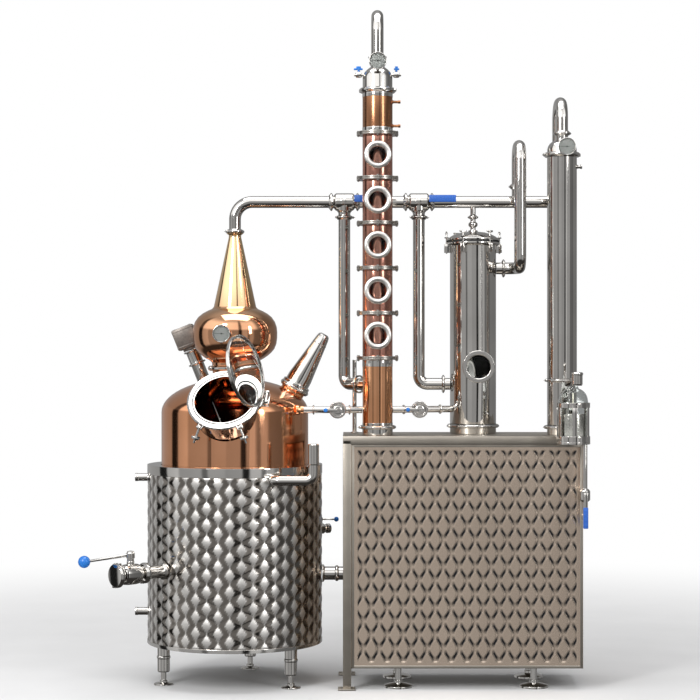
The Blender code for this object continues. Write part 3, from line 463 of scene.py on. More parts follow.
def make_jacket():
    tall, depth = 0.065, 0.0042
    low, high = JACKET_BOTTOM + 0.01, JACKET_TOP - 0.035
    columns, rows = 24 * 16, 118
    shape = Shape()
    verts = shape.mesh.verts
    crown = verts.layers.float.new("crown")

    def spot(radius, column, z):
        angle = 2 * pi * column / columns
        return verts.new((POT_X + radius * cos(angle), LINE_Y + radius * sin(angle), z))

    grid = []
    for row in range(rows + 1):
        z = low + (high - low) * row / rows
        fade = min(1, (z - low) / 0.006, (high - z) / 0.006)
        ring = []
        for column in range(columns):
            u, v = 24 * column / columns, (z - low) / tall
            vert = spot(JACKET_R - 0.0004 - depth * (1 - quilt(u + v, u - v) * fade), column, z)
            # A slim upright diamond in the middle of each pillow, marked for the material's pale painted
            # highlight; the rest of each pillow takes the darker painted shade.
            cell_u, cell_v = (u + v) % 1 - 0.5, (u - v) % 1 - 0.5
            across, up = abs(cell_u + cell_v) / 2, abs(cell_u - cell_v) / 2
            vert[crown] = max(0, min(1, (1 - across / 0.24 - up / 0.56) * 5))
            ring.append(vert)
        grid.append(ring)
    inside = JACKET_R - depth - 0.0015
    back = [[spot(inside, column, z) for column in range(columns)] for z in (low, high)]
    shape.weave([back[0], *grid, back[1], back[0]], True)
    shape.piece("jacket_quilt", QUILT, sharp=60)
    top = [(POT_R + 0.0025, JACKET_TOP), (JACKET_R, JACKET_TOP), (JACKET_R, JACKET_TOP - 0.0365),
        (JACKET_R - 0.004, JACKET_TOP - 0.037)]
    top += [(JACKET_R - 0.006, JACKET_TOP - 0.003), (POT_R + 0.0025, JACKET_TOP - 0.003)]
    shell = Shape().at(POT_AT).lathe(top, 96, True, 0.0008)
    floor = [(JACKET_R - 0.006, JACKET_BOTTOM + 0.016), (JACKET_R, JACKET_BOTTOM + 0.014),
        (JACKET_R, JACKET_BOTTOM), (0, JACKET_BOTTOM)]
    shell.lathe([(0, JACKET_BOTTOM + 0.003), (JACKET_R - 0.007, JACKET_BOTTOM + 0.003)] + floor, 96,
        False, 0.0008)
    shell.piece("jacket_rims", STEEL, "heating_jacket", slot="satin_steel")
    legs = Shape()
    leg = [(0, JACKET_BOTTOM - 0.0005), (0.025, JACKET_BOTTOM - 0.0005), (0.025, 0.056), (0.0235, 0.052),
        (0.011, 0.051)]
    leg += [(0.011, 0.02), (0.016, 0.018), (0.016, 0.011), (0.036, 0.007), (0.0395, 0.004),
        (0.0395, 0.0003), (0, 0.0003)]
    for degrees in (81, 201, 321):
        angle = radians(degrees)
        legs.at(POT_AT + Vector((0.3 * cos(angle), 0.3 * sin(angle), 0))).lathe(leg, 40)
        legs.lathe([(0.0252, 0.118), (0.0275, 0.114), (0.0275, 0.108), (0.0252, 0.104)], 40, True)
    legs.piece("jacket_legs", STEEL, slot="satin_steel")
    ports = Shape()
    stub = [(0, 0.048), (0.0115, 0.048), (0.0115, 0.0535), (0.0165, 0.0535), (0.0165, 0.044),
        (0.0155, 0.042), (0.0155, -0.004), (0, -0.004)]
    for height in (0.826, 0.281):
        ports.at((POT_X - JACKET_R + 0.003, LINE_Y, height), -X).lathe(stub, 32)
    ports.piece("jacket_ports", STEEL, slot="satin_steel")
    corner = LINE_Y - 0.366
    route = [(POT_X + 0.165, LINE_Y - JACKET_R + 0.043, 0.835), (POT_X + 0.165, corner, 0.835),
        (POT_X + 0.326, corner, 0.835), (POT_X + 0.326, corner, 0.955)]
    pipe = Shape().sweep(bend(route, (0.032, 0.032)), 0.02)
    pipe.at((POT_X + 0.326, corner, 0)).lathe([(0, 0.978), (0.019, 0.978), (0.0218, 0.975), (0.0218, 0.9),
        (0.02, 0.896), (0, 0.896)], 36)
    pipe.piece("overflow_standpipe", STEEL, slot="satin_steel")


def make_manway():
    ring = Shape().within(MANWAY_FRAME)
    face = [(0.1478, -0.0005), (0.1478, -0.0115), (0.128, -0.0125), (0.1278, -0.094), (0.1182, -0.094),
        (0.1182, -0.0005)]
    ring.lathe(face, 96, True, 0.0012)
    ring.box((0.135, -0.03, -0.011), (0.18, 0.03, -0.003), 0.0015)
    for side in (-1, 1):
        ring.box((0.159, side * 0.0192, -0.006), (0.1795, side * 0.0288, 0.0205), 0.002)
    ring.within(MANWAY_FRAME @ shift((HINGE_AT, 0, HINGE_UP)) @ spin(-90, "X"))
    ring.rod(0.0049, -0.0275, 0.0275,
        24).lathe([(0.0049, 0.0275), (0.0075, 0.0275), (0.0075, 0.0292), (0, 0.0292)], 24)
    for degrees in (-120, -60):
        turned = MANWAY_FRAME @ spin(degrees, "Z") @ shift((BOLT_AT, 0, -0.006))
        ring.within(turned)
        for side in (-1, 1):
            ring.box((-0.03, side * 0.0072, -0.0048), (0.0058, side * 0.0118, 0.0048), 0.001)
        ring.within(turned @ spin(-90, "X")).rod(0.0039, -0.0108, 0.0108, 16, 0.0004)
    ring.piece("manway_ring_steel", STEEL, "manway_ring")
    seal = Shape().within(MANWAY_FRAME).lathe([(0.1235, 0.0005), (0.1275, 0.0009), (0.1275, -0.0006),
        (0.1235, -0.0006)], 96, True, 0)
    seal.piece("manway_gasket", RUBBER)
    centre = HINGE_FRAME @ shift((-HINGE_AT, 0, -HINGE_UP))
    door = Shape().within(centre)
    rim = [(0.1438, 0.015), (0.1438, 0.002), (0.142, 0.0012), (0.1302, 0.0012), (0.1302, 0.004),
        (0.1367, 0.004), (0.1367, 0.0145), (0.14, 0.0158)]
    door.lathe(rim, 96, True, 0.001)
    door.within(HINGE_FRAME)
    door.box((-0.0305, -0.0145, -0.0055), (-0.008, 0.0145, 0.0045), 0.0015)
    door.within(HINGE_FRAME @ spin(-90, "X"))
    door.lathe([(0.0057, 0.0183), (0.0099, 0.0183), (0.0099, -0.0183), (0.0057, -0.0183)], 32, True)
    door.piece("manway_door_steel", STEEL, "manway_door", "manway_door")
    pane = Shape().within(centre).lathe([(0, 0.0122), (0.135, 0.0122), (0.135, 0.0047), (0, 0.0047)], 80)
    pane.piece("manway_door_glass", GLASS, "manway_glass", "manway_door")
    for number, degrees in enumerate((-120, -60), 1):
        turned = MANWAY_FRAME @ spin(degrees, "Z") @ shift((BOLT_AT, 0, -0.006))
        hang = turned @ spin(134, "Y")
        bolt = Shape().within(hang)
        bolt.lathe([(0, 0.0655), (0.0048, 0.0655), (0.0048, 0.05), (0.017, 0.048), (0.0178, 0.043),
            (0.017, 0.038), (0.011, 0.0362), (0.0048, 0.0362), (0.0048, 0.0075), (0, 0.0075)], 32)
        bolt.within(hang @ spin(-90, "X")).lathe([(0.0048, 0.006), (0.0088, 0.006), (0.0088, -0.006),
            (0.0048, -0.006)], 24, True)
        bolt.piece(f"swing_bolt_steel_{number}", STEEL, f"swing_bolt_{number}", f"swing_bolt_{number}")


def make_helmet():
    outer = [(0.034, 1.8238), (0.034, 1.816), (0.025, 1.81), (0.0256, 1.8), (0.0862, 1.518),
        (0.0935, 1.51), (0.112, 1.502), (0.132, 1.491)]
    outer += [(0.149, 1.477), (0.1625, 1.458), (0.17, 1.436), (0.1722, 1.415), (0.1718, 1.392),
        (0.1685, 1.368)]
    outer += [(0.1605, 1.348), (0.149, 1.3335), (0.134, 1.32), (0.118, 1.309), (0.102, 1.3),
        (0.0935, 1.292), (0.0922, 1.28), (0.104, 1.278), (0.104, NECK_TOP + GAP)]
    inner = [(0.0895, NECK_TOP + GAP), (0.0895, 1.293), (0.117, 1.3125), (0.146, 1.337), (0.1645, 1.369),
        (0.168, 1.4), (0.1675, 1.425), (0.158, 1.456), (0.145, 1.472), (0.108, 1.497)]
    inner += [(0.083, 1.515), (0.0225, 1.8), (0.021, 1.812), (0.021, 1.8238)]
    helmet = Shape().at(POT_AT).lathe(outer + inner, 96, True, 0.0008)
    helmet.piece("helmet_copper", HELMET, "helmet", sharp=40)
    seam = Shape().at(POT_AT)
    seam.lathe([(0.0885, 1.516), (0.0905, 1.5125), (0.0885, 1.509), (0.0865, 1.5125)], 80, True, 0)
    seam.piece("helmet_seams", ORANGE)
    top = Shape()
    clamp(top, POT_AT + Z * 1.8242, Z, 0.034, 0.008, radians(215))
    top.piece("helmet_top_clamp", STEEL)


def make_agitator():
    foot = MOUNT_FROM + MOUNT_UP * 0.1405
    facing = shift(foot) @ Z.rotation_difference(MOUNT_UP).to_matrix().to_4x4()
    motor = Shape().within(facing)
    motor.lathe([(0.0125, 0.012), (0.034, 0.012), (0.034, 0.0005), (0.0125, 0.0005)], 40, True)
    motor.box((-0.0495, -0.0445, 0.0105), (0.0415, 0.0445, 0.0995), 0.006)
    for level in (0.02, 0.086):
        motor.box((-0.05, -0.045, level), (0.042, 0.045, level + 0.004), 0.001)
    motor.piece("gearmotor_case", MOTOR, "gearmotor")
    bolts = Shape()
    for sx in (-0.037, 0.029):
        for sy in (-0.033, 0.033):
            bolts.within(facing @ shift((sx, sy, 0.0985))).rod(0.0045, 0, 0.0022, 6, 0.0004)
    bolts.piece("gearmotor_bolts", NUTS)
    shaft = Shape().within(facing).rod(0.0085, -0.8195, 0.0295, 24)
    shaft.lathe([(0.0085, -0.775), (0.016, -0.777), (0.016, -0.813), (0.0085, -0.815)], 24, True)
    for step in range(4):
        blade = facing @ spin(90 * step, "Z") @ shift((0, 0, -0.795)) @ spin(8, "X")
        shaft.within(blade).box((0.014, -0.0025, -0.0145), (0.0595, 0.0025, 0.0145), 0.0012)
    shaft.piece("agitator_steel", STEEL, "agitator", "agitator")


def make_vent():
    base = VENT_FROM + VENT_UP * (0.075 + GAP)
    outer = [(0.0035, 0.2495), (0.015, 0.2485), (0.0225, 0.243), (0.0262, 0.23), (0.0295, 0.205),
        (0.0495, 0.047), (0.0498, 0.022), (0.0575, 0.0195), (0.0575, 0.0005)]
    inner = [(0.0442, 0.0005), (0.0442, 0.044), (0.0235, 0.222), (0.015, 0.236), (0.0035, 0.238)]
    cone = Shape().at(base, VENT_UP).lathe(outer + inner, 64, True, 0.001)
    cone.piece("vent_cone_steel", STEEL, "vent_cone", sharp=40)
    band = Shape()
    clamp(band, base, VENT_UP, 0.058, 0.011, radians(-110))
    band.lathe([(0.0285, 0.2075), (0.0308, 0.206), (0.0308, 0.2035), (0.029, 0.202)], 40, True)
    band.piece("vent_clamp", STEEL)


def make_drain():
    way = Vector((-0.743, -0.669, 0)).normalized()
    start = POT_AT + Z * 0.47 + way * (JACKET_R + 0.0008)
    valve = Shape().at(start, way)
    body = [(0, 0.2395), (0.0435, 0.2395), (0.0435, 0.23), (0.027, 0.227), (0.027, 0.208),
        (0.0345, 0.204), (0.039, 0.196)]
    body += [(0.0408, 0.18), (0.0408, 0.148), (0.039, 0.132), (0.0345, 0.124), (0.0265, 0.12),
        (0.0265, 0.106), (0.036, 0.1045)]
    valve.lathe(body + [(0.036, 0.0905), (0.0258, 0.089), (0.0258, 0.016), (0.033, 0.012),
        (0.033, 0.0004), (0, 0.0004)], 56)
    top = start + way * 0.164
    valve.at(top).rod(0.0138, 0, 0.0618, 32,
        0.001).lathe([(0.0138, 0.052), (0.015, 0.05), (0.015, 0.041), (0.0138, 0.039)], 32, True)
    for step in range(4):
        angle = radians(45 + 90 * step)
        side = way.cross(Z) * (0.0355 * cos(angle)) + Z * (0.0355 * sin(angle))
        valve.at(start + way * 0.118 + side * 0.93, way).rod(0.0042, 0, 0.096, 16, 0.0006)
        valve.at(start + way * 0.118 + side * 0.93, way).rod(0.0068, -0.001, 0.005, 6).rod(0.0068, 0.0905,
            0.0965, 6)
    valve.piece("drain_valve_steel", STEEL, "drain_valve")
    band = Shape()
    clamp(band, start + way * 0.0975, way, 0.0365, 0.0125, radians(200))
    clamp(band, start + way * 0.2278, way, 0.044, 0.0115, radians(200))
    band.piece("drain_clamps", STEEL)
    hub = shift(top + Z * (0.062 + GAP)) @ spin(190, "Z")
    lever = Shape().within(hub).lathe([(0, 0.03), (0.0125, 0.0275), (0.0165, 0.019), (0.0168, 0.0005),
        (0, 0.0005)], 36)
    arm = shift((0, 0, 0.014)) @ Z.rotation_difference(Vector((0.99, 0, -0.14))).to_matrix().to_4x4()
    lever.within(hub @ arm).lathe([(0, 0.17), (0.0048, 0.17), (0.0064, 0.03), (0.0064, 0), (0, 0)], 24)
    lever.piece("drain_lever_steel", STEEL, "drain_lever", "drain_lever")
    knob = Shape().within(hub @ shift((0.179, 0, -0.011))).ball(0.0238)
    knob.piece("drain_lever_knob", BALL, body="drain_lever", sharp=60)
    out = Vector((cos(radians(30)), sin(radians(30)), 0))
    start = POT_AT + Z * 0.598 + out * (JACKET_R + 0.001)
    small = Shape().at(start, out)
    body = [(0, 0.0848), (0.0198, 0.0848), (0.0198, 0.071), (0.0138, 0.066), (0.0175, 0.06),
        (0.0215, 0.054), (0.0215, 0.032), (0.0175, 0.026)]
    small.lathe(body + [(0.0138, 0.021), (0.0138, 0.006), (0.0195, 0.004), (0.0195, 0.0003), (0, 0.0003)], 40)
    top = start + out * 0.043
    small.at(top).rod(0.0078, 0, 0.0318, 24)
    small.piece("jacket_valve_steel", STEEL, "jacket_valve")
    hub = top + Z * (0.032 + GAP)
    lever = Shape().at(hub).rod(0.0088, 0.0003, 0.0138, 28)
    lever.at(hub + Z * 0.007, X).rod(0.0036, 0, 0.06, 16)
    lever.piece("jacket_lever_steel", STEEL, "jacket_lever", "jacket_lever")
    knob = Shape().at(hub + Z * 0.007 + X * 0.0655).ball(0.0104, 24)
    knob.piece("jacket_lever_knob", BALL, body="jacket_lever", sharp=60)
    start, end = POT_X + JACKET_R + GAP, CABINET_X[0] - GAP
    middle = (start + end) / 2
    pipe = Shape().at((start, LINE_Y, 0.435), X)
    reach = end - start
    pipe.lathe([(0, reach), (0.037, reach), (0.037, reach - 0.004), (0.0272, reach - 0.006),
        (0.0272, 0.01), (0.036, 0.004), (0.036, 0), (0, 0)], 48)
    clamp(pipe, (middle, LINE_Y, 0.435), X, 0.028, 0.0095, radians(-60))
    pipe.piece("steam_pipe_steel", STEEL, "steam_pipe")


# ---- vapour line --------------------------------------------------------------------------
CLAMPS = Shape()


def joint(at, axis, turn=0.6, radius=0.0325, half=0.0062):
    clamp(CLAMPS, Vector(at), Vector(axis), radius, half, turn)


def end_ferrule(shape, at, axis, radius=0.033, height=0.01, tube=TUBE_R):
    """A ferrule whose face is at a pipe's end, tapering down to the tube."""
    shape.at(at, axis).lathe([(0, 0), (radius, 0), (radius, height * 0.35), (tube + 0.003, height),
        (0, height)], 48, False, 0.0006)


def make_line():
    foot, end = 1.824 + GAP, VALVE_X[0] - VALVE_HALF - GAP
    corners = [(POT_X, LINE_Y, foot + 0.002), (POT_X, LINE_Y, LINE_Z), (end - 0.002, LINE_Y, LINE_Z)]
    arm = Shape().sweep(bend(corners, (0.07,), 18), TUBE_R, 40)
    end_ferrule(arm, (POT_X, LINE_Y, foot), Z)
    end_ferrule(arm, (end, LINE_Y, LINE_Z), -X)
    arm.piece("lyne_arm_steel", STEEL, "lyne_arm", sharp=40)
    for number, place in enumerate(VALVE_X, 1):
        make_vapour_valve(number, place)
    start, end = VALVE_X[0] + VALVE_HALF + GAP, VALVE_X[1] - VALVE_HALF - GAP
    middle = Shape().sweep([(start + 0.002, LINE_Y, LINE_Z), (end - 0.002, LINE_Y, LINE_Z)], TUBE_R, 40)
    middle.at((COLUMN_X, LINE_Y, LINE_Z)).rod(TUBE_R, 0, 0.06, 40)
    end_ferrule(middle, (start, LINE_Y, LINE_Z), X)
    end_ferrule(middle, (end, LINE_Y, LINE_Z), -X)
    end_ferrule(middle, (COLUMN_X, LINE_Y, LINE_Z + 0.062), -Z)
    middle.piece("vapour_pipe_middle_steel", STEEL, "vapour_pipe_middle", sharp=40)
    joint((COLUMN_X, LINE_Y, LINE_Z + 0.0622), Z, 2.2)
    start, crest, foot = VALVE_X[1] + VALVE_HALF + GAP, 2.337, CONDENSER_TOP + 0.086
    corners = [(start + 0.002, LINE_Y, LINE_Z), (CONDENSER_X, LINE_Y, LINE_Z),
        (CONDENSER_X, LINE_Y, crest), (CONDENSER_X, FRONT_Y, crest), (CONDENSER_X, FRONT_Y, foot + 0.002)]
    pipe = Shape().sweep(bend(corners, (0.05, 0.07, 0.07), 16), TUBE_R, 40)
    pipe.at((OUTLET_X, LINE_Y, LINE_Z)).rod(TUBE_R, 0, 0.06, 40)
    pipe.at((BASKET_X, LINE_Y, LINE_Z), -Z).rod(0.011, 0, 0.06, 28)
    end_ferrule(pipe, (start, LINE_Y, LINE_Z), X)
    end_ferrule(pipe, (CONDENSER_X, FRONT_Y, foot), Z)
    end_ferrule(pipe, (OUTLET_X, LINE_Y, LINE_Z + 0.062), -Z)
    end_ferrule(pipe, (BASKET_X, LINE_Y, LINE_Z - 0.062), Z, 0.018, 0.008, 0.011)
    pipe.piece("vapour_pipe_end_steel", STEEL, "vapour_pipe_end", sharp=40)
    joint((OUTLET_X, LINE_Y, LINE_Z + 0.0622), Z, 2.2)
    joint((CONDENSER_X, FRONT_Y, foot - 0.0005), Z, -1.2)
    joint((BASKET_X, LINE_Y, LINE_Z - 0.0625), Z, -1.0, 0.018, 0.0055)
    for place in VALVE_X:
        for side in (-1, 1):
            joint((place + side * (VALVE_HALF + 0.0002), LINE_Y, LINE_Z), X, -1.2 if side < 0 else 1.9)
        joint((place, LINE_Y, LINE_Z - 0.0622), Z, 0.4)


def make_vapour_valve(number, place):
    at = (place, LINE_Y, LINE_Z)
    half = [(0.0328, 0.0528), (0.0328, 0.05), (0.0245, 0.044), (0.033, 0.0375), (0.0356, 0.033)]
    valve = Shape().at(at, X).lathe([(0, 0.0528)] + half + [(r, -z) for r,
        z in reversed(half)] + [(0, -0.0528)], 48)
    down = [(0, 0.0618), (0.0328, 0.0618), (0.0328, 0.059), (0.0245, 0.053), (0.025, 0.044),
        (0.032, 0.036), (0.0325, 0), (0, 0)]
    valve.at(at, -Z).lathe(down, 48)
    valve.at(at, -Y).lathe([(0, 0.0398), (0.0105, 0.0398), (0.0125, 0.038), (0.0125, 0), (0, 0)], 32)
    for sx in (-1, 1):
        for sz in (-1, 1):
            for side in (-1, 1):
                spot = (place + sx * 0.0335, LINE_Y + side * 0.025, LINE_Z + sz * 0.02)
                valve.at(spot, X).rod(0.0045, -0.0045, 0.0045, 6, 0.0004)
    valve.piece(f"vapour_valve_{number}_steel", STEEL, f"vapour_valve_{number}")
    hub = shift((place, LINE_Y - 0.04 - GAP, LINE_Z))
    lever = Shape().within(hub).box((-0.0138, -0.0046, -0.0098), (0.05, -0.0004, 0.0098), 0.0012)
    lever.at((place, LINE_Y - 0.0404, LINE_Z), -Y).rod(0.0088, 0.003, 0.0085, 6, 0.0006).rod(0.0052,
        0.003, 0.0128, 20)
    body = f"vapour_lever_{number}"
    lever.piece(f"vapour_lever_{number}_steel", STEEL, body, body)
    grip = Shape().within(hub).box((0.0402, -0.0083, -0.0028), (0.1498, 0.0023, 0.0258), 0.0035)
    for step in range(5):
        x = 0.06 + 0.018 * step
        grip.box((x, -0.0085, 0.001), (x + 0.008, 0.0024, 0.022), 0.0012)
    grip.piece(f"vapour_lever_{number}_sleeve", BLUE, body=body)


def make_drops():
    top = LINE_Z - 0.062 - GAP
    to_column = Vector((COLUMN_X - VALVE_X[0], FRONT_Y - LINE_Y, 0))
    first = Vector((VALVE_X[0], LINE_Y, DROP_Z))
    way = to_column.normalized()
    corners = [first + Z * (top - DROP_Z - 0.002), first,
        first + way * (to_column.length - COLUMN_R - 0.0006)]
    pipe = Shape().sweep(bend(corners, (0.035,), 14), TUBE_R, 40)
    end_ferrule(pipe, first + Z * (top - DROP_Z), -Z)
    pipe.piece("drop_pipe_1_steel", STEEL, "drop_pipe_1", sharp=40)
    joint(first + way * 0.088, way, 0.8)
    second, end = Vector((VALVE_X[1], LINE_Y, DROP_Z)), Vector((BASKET_X - BASKET_R - 0.0006, LINE_Y, DROP_Z))
    corners = [second + Z * (top - DROP_Z - 0.002), second, end]
    pipe = Shape().sweep(bend(corners, (0.035,), 14), TUBE_R, 40)
    end_ferrule(pipe, second + Z * (top - DROP_Z), -Z)
    pipe.piece("drop_pipe_2_steel", STEEL, "drop_pipe_2", sharp=40)
    joint((end.x - 0.027, LINE_Y, DROP_Z), X, 0.8)


# ---- column -------------------------------------------------------------------------------
COLUMN_AT = Vector((COLUMN_X, FRONT_Y, 0))


def bolt_ring(shape, at, radius, count, low, high, axis=Z, turn=0.26, head=0.0062):
    """Hex bolts with nuts on both faces of a pair of flanges."""
    shape.at(at, axis)
    middle = shape.place.copy()
    for step in range(count):
        shape.within(middle @ Matrix.Rotation(turn + 2 * pi * step / count, 4, "Z") @ shift((radius, 0, 0)))
        shape.rod(head * 0.52, low - 0.006, high + 0.003, 12, 0.0004)
        shape.rod(head, high, high + 0.0045, 6, 0.0006).rod(head, low - 0.0045, low, 6, 0.0006)


def sight_port(shape, eye, radius, inner, reach, start):
    """The thick rounded ring round a sight glass."""
    wide = radius - inner
    profile = [(inner, start), (inner, reach - 0.006), (inner + wide * 0.18, reach - 0.0018),
        (inner + wide * 0.5, reach), (inner + wide * 0.82, reach - 0.0018)]
    profile += [(radius, reach - 0.006), (radius, reach - 0.017), (radius - 0.005, reach - 0.02),
        (radius - 0.005, start)]
    shape.at(eye, -Y).lathe(profile, 56, True, 0.001)


def sleeve(radius, spans, at, name):
    """Short steel ends of a copper tube, where its ferrules are brazed on."""
    shape = Shape().at(at)
    for low, high in spans:
        shape.lathe([(radius - 0.001, high), (radius + 0.0009, high - 0.0006),
            (radius + 0.0009, low + 0.0006), (radius - 0.001, low)], 72, True, 0.0003)
    shape.piece(name, STEEL)


def make_column():
    top = PLATE_Z - GAP / 2
    base = [(0, TABLE_TOP + 0.004), (0.057, TABLE_TOP + 0.004), (0.057, top - 0.0005),
        (0.0605, top - 0.0005), (COLUMN_R, top - 0.007)]
    base += [(COLUMN_R, TABLE_TOP + 0.006), (0.0585, TABLE_TOP + GAP), (0, TABLE_TOP + GAP)]
    Shape().at(COLUMN_AT).lathe(base, 72).piece("column_base_copper", ORANGE, "column_base")
    sleeve(COLUMN_R, ((top - 0.034, top - 0.0075), (TABLE_TOP + 0.001, 1.053)), COLUMN_AT,
        "column_base_sleeves")
    clamp(CLAMPS, COLUMN_AT + Z * 1.035, Z, 0.07, 0.0075, radians(-160))
    flanges, bolts, panes, rims = Shape(), Shape(), Shape(), Shape()

    def flange(low):
        disc = [(COLUMN_R, low + 0.007), (FLANGE_R - 0.0005, low + 0.007), (FLANGE_R - 0.0005, low),
            (COLUMN_R, low)]
        flanges.at(COLUMN_AT).lathe(disc, 72, True, 0.0007)

    flange(top - 0.007)
    length = PLATE_PITCH - GAP
    for number in range(5):
        low = PLATE_Z + GAP / 2 + number * PLATE_PITCH
        profile = [(COLUMN_R, low + length - 0.0005), (COLUMN_R, low + 0.0005), (0.0575, low + 0.0005),
            (0.0575, low + length - 0.0005)]
        section = Shape().at(COLUMN_AT).lathe(profile, 72, True)
        name = f"plate_section_{number + 1}"
        section = section.piece(f"{name}_copper", PINK, name)
        eye = COLUMN_AT + Z * (low + length / 2)
        carve(section, Shape().at(eye, -Y).rod(0.0445, 0.02, 0.1, 56, 0))
        sight_port(rims, eye, 0.055, 0.0345, 0.0858, 0.04)
        panes.at(eye, -Y).lathe([(0, 0.0735), (0.0333, 0.0735), (0.0333, 0.067), (0, 0.067)], 48)
        for height in (low, low + length - 0.007):
            flange(height)
        inside = Shape().at(COLUMN_AT + Z * low)
        inside.lathe([(0.015, 0.0265), (0.0175, 0.0265), (0.0175, 0.0035), (0.0572, 0.0035),
            (0.0572, 0.001), (0.015, 0.001)], 40, True)
        inside.at(COLUMN_AT + Z * (low + 0.012)).lathe([(0, 0.034), (0.018, 0.0325), (0.0265, 0.024),
            (0.0285, 0), (0.0265, 0), (0.0245, 0.023), (0.017, 0.0305), (0, 0.032)], 40)
        inside.piece(f"bubble_plate_{number + 1}", ORANGE)
    foot = PLATE_Z + 5 * PLATE_PITCH + GAP / 2
    flange(foot)
    for step in range(6):
        height = PLATE_Z + step * PLATE_PITCH
        bolt_ring(bolts, COLUMN_AT + Z * height, 0.0765, 4, -0.007, 0.007, Z, 0, 0.0052)
    flanges.piece("column_flanges", FLANGE)
    bolts.piece("column_bolts", NUTS)
    rims.piece("sight_port_rings", PORT)
    panes.piece("sight_port_panes", GLASS)
    top = 2.379
    cooler = [(COLUMN_R, top - 0.002), (COLUMN_R, foot + 0.0005), (0.057, foot + 0.0005),
        (0.057, top - 0.002)]
    cooler = Shape().at(COLUMN_AT).lathe(cooler, 72, True)
    for height in (2.238, 2.334):
        cooler.at(COLUMN_AT + Z * height,
            X).lathe([(0, 0.0918), (0.0062, 0.0918), (0.0068, 0.09), (0.0068, 0.083), (0.0055, 0.081),
                (0.0055, 0.064), (0.009, 0.06), (0.009, 0.056), (0, 0.056)], 28)
    # The dephlegmator takes the darker copy of the copper, painted shade.
    cooler.piece("dephlegmator_copper", COOLER, "dephlegmator")
    sleeve(COLUMN_R, ((foot + 0.0075, foot + 0.024), (top - 0.027, top - 0.0085)), COLUMN_AT,
        "dephlegmator_sleeves")
    rims = Shape().at(COLUMN_AT)
    rims.lathe([(0.06, top), (0.0708, top), (0.0708, top - 0.004), (0.064, top - 0.008),
        (0.06, top - 0.008)], 72, True)
    rims.piece("dephlegmator_rim", STEEL)
    clamp(CLAMPS, COLUMN_AT + Z * (top + 0.0002), Z, 0.07, 0.009, radians(-20))
    outer = [(0.0328, 2.5118), (0.0328, 2.5085), (0.025, 2.502), (0.0245, 2.476), (0.03, 2.4715),
        (0.04, 2.464), (0.05, 2.454), (0.0565, 2.444), (COLUMN_R - 0.0005, 2.432)]
    outer += [(COLUMN_R - 0.0005, top + 0.0095), (0.065, top + 0.0085), (0.0708, top + 0.0045),
        (0.0708, top + GAP)]
    inner = [(0.057, top + GAP), (0.057, 2.432), (0.033, 2.4655), (0.0212, 2.475), (0.0212, 2.5118)]
    head = Shape().at(COLUMN_AT).lathe(outer + inner, 72, True)
    half = [(0.0058, 0.0938), (0.0058, 0.088), (0.0108, 0.0855), (0.0118, 0.08), (0.0118, 0.07),
        (0.0108, 0.0645), (0.0058, 0.062), (0.0058, 0.05)]
    for side, name in ((-1, "left"), (1, "right")):
        at = COLUMN_AT + Z * 2.442
        head.at(at, X * side).lathe([(0, 0.0938)] + half + [(0, 0.05)], 28)
        hub = at + X * side * 0.075 + Z * (0.012 + GAP)
        head.at(at + X * side * 0.075).rod(0.0046, 0, 0.0119, 20)
        handle = Shape().at(hub).rod(0.0048, 0.0003, 0.0118, 24)
        reach = (-0.0198, 0.0158) if side < 0 else (-0.0098, 0.0118)
        handle.box((reach[0], -0.0055, 0.007), (reach[1], 0.0055, 0.014),
            0.0018).box((reach[0] * 0.55, -0.005, 0.012), (reach[1] * 0.55, 0.005, 0.0218), 0.0022)
        handle.piece(f"water_lever_{name}_grip", BALL, f"water_lever_{name}", f"water_lever_{name}")
    head.piece("column_head_steel", STEEL, "column_head", sharp=40)
    crest = 2.712 - TUBE_R
    corners = [COLUMN_AT + Z * (2.514 + GAP), COLUMN_AT + Z * crest, Vector((COLUMN_X, LINE_Y, crest)),
        Vector((COLUMN_X, LINE_Y, LINE_Z + 0.064 + GAP))]
    neck = Shape().sweep(bend(corners, (0.07, 0.07), 18), TUBE_R, 40)
    end_ferrule(neck, COLUMN_AT + Z * (2.512 + GAP), Z)
    end_ferrule(neck, (COLUMN_X, LINE_Y, LINE_Z + 0.062 + GAP), Z)
    neck.piece("swan_neck_steel", STEEL, "swan_neck", sharp=40)
    joint(COLUMN_AT + Z * 2.5122, Z, -0.9)


